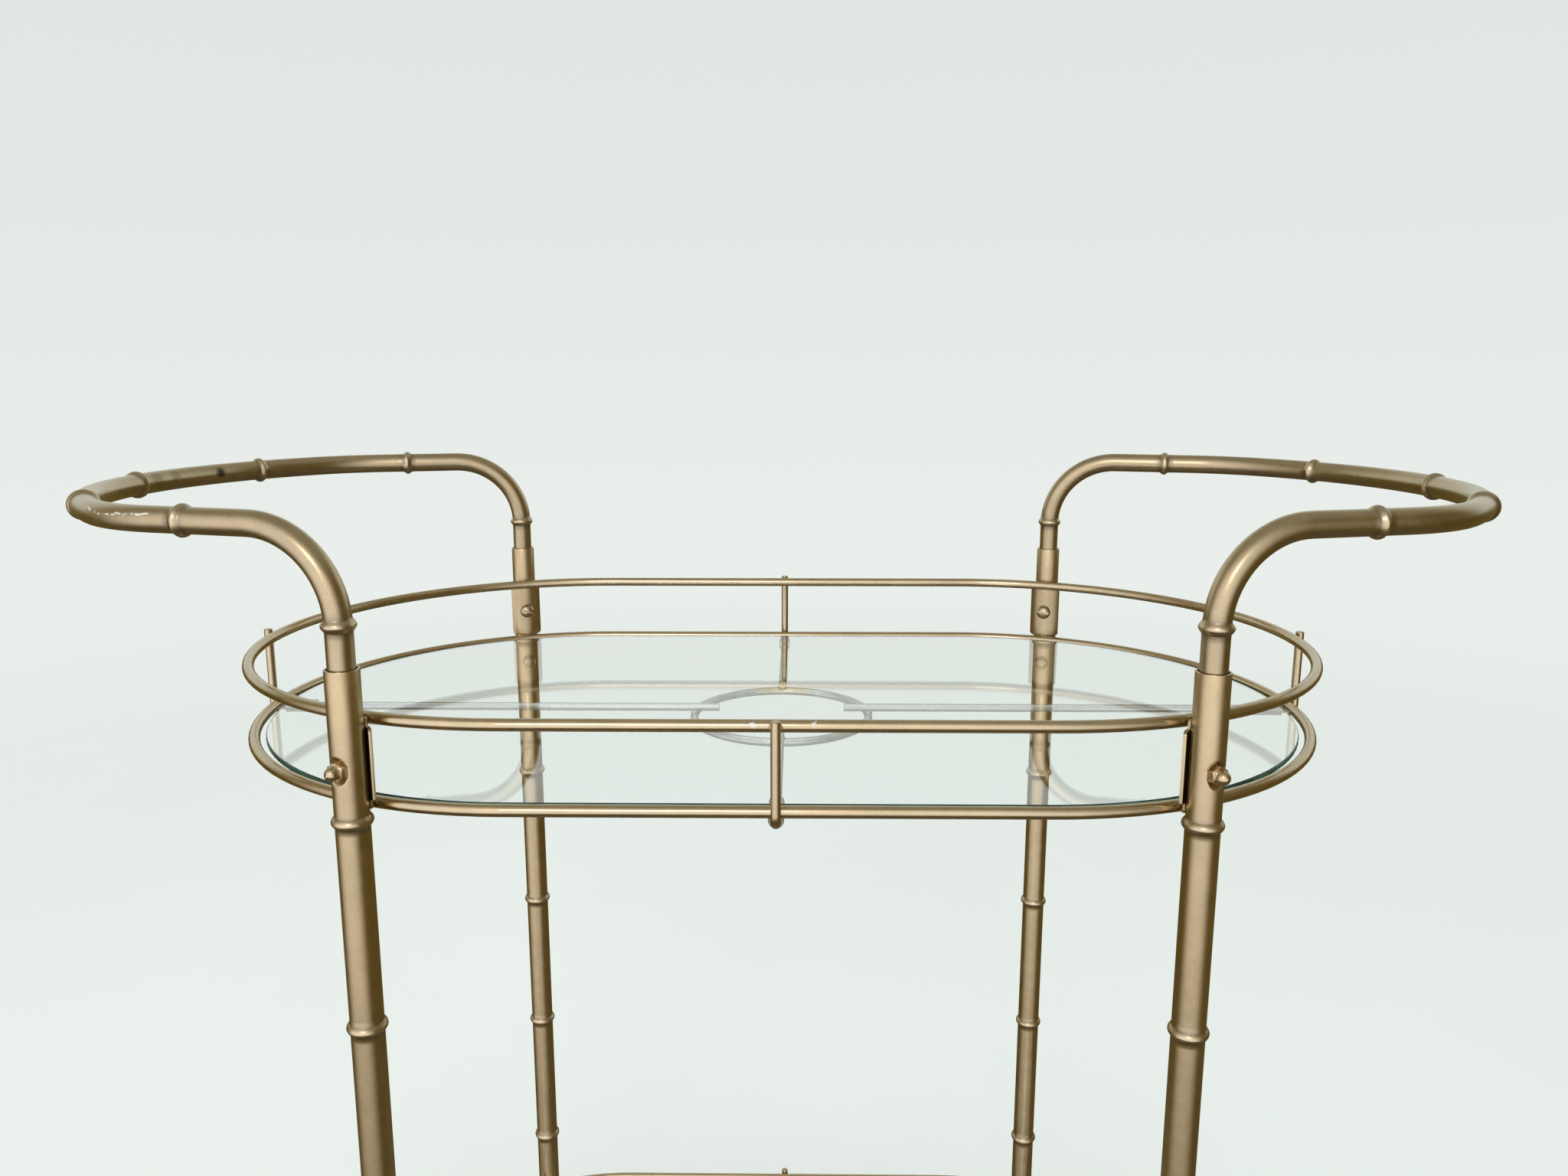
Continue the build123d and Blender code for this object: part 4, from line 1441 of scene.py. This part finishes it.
@dataclass
class Welds:
    """Small weld lumps where rods and saddles meet the rails and rings. Lumps have half sizes in millimetres."""

    rail_radius: float = 3.0 * MM
    post_radius: float = 2.4 * MM
    tab_reach: float = 10.1 * MM  # from a leg's axis to the face of its saddle's tabs
    tab_rise: float = 2.2 * MM  # of a tab's weld above or below the middle of its rail
    unevenness: float = 0.16 * MM
    sag: Triple = (0.25 * MM, 0, -0.15 * MM)
    sharp: float = 80.0  # degrees
    rail_share: float = 0.98  # of a radius, where a lump's middle sits
    post_share: float = 0.95
    ring_share: float = 0.9
    post_lump: Triple = (1.1, 0.9, 1.9)
    post_lifts: Span = (0.1 * MM, -0.2 * MM)  # of the lumps on either side of a post
    ring_lump: Triple = (2.0, 1.1, 0.9)
    upper_tab_lump: Triple = (4.2, 1.2, 1.0)
    lower_tab_lump: Triple = (3.6, 1.2, 1.0)

    def model(self) -> bpy.types.Object:
        """Model one uneven lump.

        Returns:
            The lump at the origin, with a radius of about one millimetre.
        """
        Bench.clear()
        bpy.ops.mesh.primitive_ico_sphere_add(subdivisions=3, radius=MM)
        lump = bpy.context.object
        Bench.open(lump)
        bpy.ops.transform.vertex_random(offset=self.unevenness, seed=4)
        bpy.ops.mesh.vertices_smooth(factor=0.5, repeat=2)
        Bench.pick(lump, lambda place: place.x > 0.5 * MM)
        bpy.ops.transform.translate(value=self.sag, use_proportional_edit=True,
                                    proportional_edit_falloff="SMOOTH", proportional_size=MM)
        return Bench.close(lump, self.sharp)

    def places(self, shelf: str) -> list[tuple[Vector, float, Triple]]:
        """Where a shelf's lumps go.

        Args:
            shelf: Which shelf.

        Returns:
            For each lump its place, its turn about the vertical and its half sizes.
        """
        found = []
        upper = node_middle(f"{shelf}_upper_rail").z
        lower = node_middle(f"{shelf}_lower_rail").z
        low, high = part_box(f"{shelf}_upper_rail")
        for reach in (Vector((0, low.y)), Vector((0, high.y)), Vector((low.x, 0)), Vector((high.x, 0))):
            outward = reach.normalized()
            along = Vector((-outward.y, outward.x))
            middle = reach + outward * self.rail_radius * (self.rail_share - 1)
            for side, lift in zip((-1, 1), self.post_lifts):
                spot = middle + along * side * self.post_radius * self.post_share
                found.append((Vector((*spot, upper + lift)), math.atan2(along.y, along.x), self.post_lump))
        ring_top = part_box(f"{shelf}_centre_ring")[1]
        for way in (Vector((1, 0)), Vector((-1, 0)), Vector((0, 1)), Vector((0, -1))):
            for side in (-1, 1):
                aside = Vector((-way.y, way.x)) * side * self.post_radius * self.ring_share
                spot = way * (ring_top.x - self.post_radius) + aside
                found.append((Vector((*spot, ring_top.z)), math.atan2(way.y, way.x), self.ring_lump))
        for corner in CORNERS:
            outward = bolt_way(corner).to_2d()
            spot = node_middle(f"leg_{corner}").to_2d() - outward * self.tab_reach
            turn = math.atan2(outward.y, outward.x) + QUARTER
            found.append((Vector((*spot, upper + self.tab_rise)), turn, self.upper_tab_lump))
            found.append((Vector((*spot, lower - self.tab_rise)), turn, self.lower_tab_lump))
        return found

    def build(self, shelf: str) -> bpy.types.Object:
        """Lay a shelf's welds.

        Args:
            shelf: Which shelf.

        Returns:
            The welds as one piece.
        """
        pattern = self.model()
        copies = []
        for number, (place, turn, size) in enumerate(self.places(shelf)):
            flip = -1 if number % 2 else 1
            shape = Matrix.Rotation(turn, 3, "Z") @ Matrix.Diagonal((size[0] * flip, size[1] * flip, size[2]))
            copies.append(copy_to(pattern, f"{shelf}_weld_{number}", place, shape))
        bpy.data.objects.remove(pattern)
        piece = join(copies, f"{shelf}_welds")
        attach(piece, FRAME_BODY)
        return piece


@dataclass(frozen=True)
class SoftLight:
    """A flat light that faces a point."""

    name: str
    place: Triple
    target: Triple
    size: tuple[float, float]
    power: float
    mirrored: bool  # whether gloss shows it

    def hang(self) -> None:
        """Add the light to the scene."""
        light = bpy.data.lights.new(self.name, "AREA")
        light.shape = "RECTANGLE"
        light.size, light.size_y = self.size
        light.energy = self.power
        holder = bpy.data.objects.new(self.name, light)
        holder.location = self.place
        holder.rotation_euler = (Vector(self.target) - Vector(self.place)).to_track_quat("-Z", "Y").to_euler()
        holder.visible_camera = False
        holder.visible_glossy = self.mirrored
        bpy.context.scene.collection.objects.link(holder)


LIGHTS = (
    SoftLight("top_light", (-0.3, -0.3, 3.4), (0, 0, 0.3), (3.2, 2.6), 34.0, False),
    SoftLight("window_light", (-0.45, -2.75, 2.2), (0, 0, 0.6), (0.9, 0.8), 9.0, True),
)


@dataclass
class Stage:
    """Floor, light and camera. The room's spans are parts of the way that a mirrored ray points."""

    floor_radius: float = 6.0
    floor_sides: int = 96
    floor_roughness: float = 0.7
    floor_gloss: float = 0.2
    floor_fade: Span = (0.9, 4.0)
    floor_colours: tuple[Colour, Colour] = (srgb(234, 238, 235), srgb(238, 242, 239))
    backdrop_low: Colour = srgb(235, 240, 236)
    backdrop_high: Colour = srgb(225, 229, 227)
    backdrop_span: Span = (-0.3, 0.35)
    left_glow: Colour = (0.28, 0.23, 0.13, 1.0)
    right_glow: Colour = (0.20, 0.15, 0.07, 1.0)
    side_span: Span = (-0.6, 0.6)
    ceiling_glow: Colour = (0.42, 0.41, 0.36, 1.0)
    ceiling_span: Span = (0.45, 0.9)
    low_glow: Colour = (0.15, 0.11, 0.03, 1.0)
    low_span: Span = (0.02, -0.18)
    ground_glow: Colour = (0.14, 0.115, 0.075, 1.0)
    ground_span: Span = (-0.4, -0.8)
    back_glow: Colour = (0.80, 0.84, 0.81, 1.0)
    back_span: Span = (0.12, 0.55)
    back_top: Span = (0.85, 0.35)
    back_foot: Span = (-0.06, 0.12)
    window_way: Triple = (-0.36, -0.93, -0.08)
    window_glow: Colour = (1.50, 1.50, 1.62, 1.0)
    window_span: Span = (0.12, 0.96)
    window_foot: Span = (-0.72, -0.35)
    sill_glow: Colour = (1.34, 1.34, 1.44, 1.0)
    sill_span: Span = (-0.42, -0.2)
    camera_place: Triple = (0.0100, -0.6913, 0.8181)
    camera_pitch: float = 0.1893
    camera_yaw: float = 0.0122
    focal_pixels: float = 1535.44
    image_width: float = 2048.0
    sensor: float = 36.0
    nearest: float = 0.01

    def build(self) -> None:
        """Set everything up."""
        self.lay_floor()
        for light in LIGHTS:
            light.hang()
        self.paint_world()
        self.set_camera()

    def lay_floor(self) -> None:
        """A pale round floor whose rim fades into the background."""
        Bench.clear()
        bpy.ops.mesh.primitive_circle_add(vertices=self.floor_sides, radius=self.floor_radius, fill_type="NGON")
        floor = bpy.context.object
        floor.name = "studio_floor"
        material, shader = new_shader("pale_floor")
        where = shader.place()
        paint = shader.blend(shader.noise(where, 3.0, 3.0), *self.floor_colours)
        feeds = {"Base Color": paint, "Roughness": self.floor_roughness, "Specular IOR Level": self.floor_gloss}
        lit = shader.value("BsdfPrincipled", {}, feeds)
        clear = shader.value("BsdfTransparent", {}, {})
        spread = shader.distance(where, (0.0, 0.0, 0.0))
        hidden = spread.ramp(*self.floor_fade).either(self.mirrored(shader))
        shader.show(shader.value("MixShader", {}, {0: hidden, 1: lit, 2: clear}))
        floor.data.materials.append(material)
        floor.visible_glossy = False

    def paint_world(self) -> None:
        """Pale backdrop for the eye, and for gloss a room with a wide window behind the camera."""
        world = bpy.data.worlds.new("studio")
        world.use_nodes = True
        bpy.context.scene.world = world
        shader = Shader(world.node_tree)
        toward = shader.value("TexCoord", {}, {}, "Generated")
        side, depth, height = shader.axes(toward)
        room = shader.blend(side.ramp(*self.side_span), self.left_glow, self.right_glow)
        room = shader.blend(height.ramp(*self.ceiling_span), room, self.ceiling_glow)
        room = shader.blend(height.ramp(*self.low_span), room, self.low_glow)
        room = shader.blend(height.ramp(*self.ground_span), room, self.ground_glow)
        wall = depth.ramp(*self.back_span) * height.ramp(*self.back_top) * height.ramp(*self.back_foot)
        room = shader.blend(wall, room, self.back_glow)
        window = shader.vector("DOT_PRODUCT", toward, self.window_way).ramp(*self.window_span)
        pane = shader.blend(height.ramp(*self.sill_span), self.sill_glow, self.window_glow)
        room = shader.blend(window * height.ramp(*self.window_foot), room, pane)
        plain = shader.blend(height.ramp(*self.backdrop_span), self.backdrop_low, self.backdrop_high)
        shown = shader.blend(self.mirrored(shader), plain, room)
        glow = shader.value("Background", {}, {"Color": shown, "Strength": 1.0})
        shader.add("OutputWorld", {}, {"Surface": glow})

    @staticmethod
    def mirrored(shader: Shader) -> Value:
        """1 for light that a glossy surface has mirrored."""
        return shader.value("LightPath", {}, {}, "Glossy Depth").both(1.0)

    def set_camera(self) -> None:
        """The photograph's camera."""
        lens = bpy.data.cameras.new("photo_camera")
        lens.sensor_fit = "HORIZONTAL"
        lens.sensor_width = self.sensor
        lens.lens = self.focal_pixels / self.image_width * self.sensor
        lens.clip_start = self.nearest
        camera = bpy.data.objects.new("photo_camera", lens)
        camera.location = self.camera_place
        camera.rotation_euler = (QUARTER - self.camera_pitch, 0.0, self.camera_yaw)
        bpy.context.scene.collection.objects.link(camera)
        bpy.context.scene.camera = camera
        bpy.context.scene.view_settings.view_transform = "Standard"


def dress_solids(materials: dict[Slot, bpy.types.Material]) -> None:
    """Give every solid the finish of its slot, and the rods their smoother paint.

    Args:
        materials: The finish of each slot.
    """
    rod_paint = ROD_PAINT.material()
    for name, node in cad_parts.items():
        for holder in node.material_slots:
            slot = Slot(holder.material.name.split(".")[0])
            holder.material = rod_paint if name.endswith(ROD_WORDS) else materials[slot]
        LOG.info("dressed %s", name)


def main() -> None:
    """Build and dress the cart, then its stage."""
    logging.basicConfig(level=logging.INFO, format="%(name)s: %(message)s")
    materials = {slot: finish.material() for slot, finish in FINISHES.items()}
    dress_solids(materials)
    gold = materials[Slot.SATIN_GOLD]
    legs = Legs()
    for corner in CORNERS:
        dress(legs.build(corner), gold)
    handles = Handles()
    # the handles take the darker copy of the gold, as painted shade
    shaded_handle_paint = SHADED_HANDLE_PAINT.material()
    for side in SIDES:
        dress(handles.build(side), shaded_handle_paint)
    for plate in Saddles().build(legs.radius):
        dress(plate, gold)
    for shelf in SHELVES:
        for hardware in (Nuts(), Screws()):
            dress(hardware.build(shelf), materials[Slot.GOLD_HARDWARE])
        dress(Welds().build(shelf), gold)
    Stage().build()


if __name__ == "__main__":
    main()
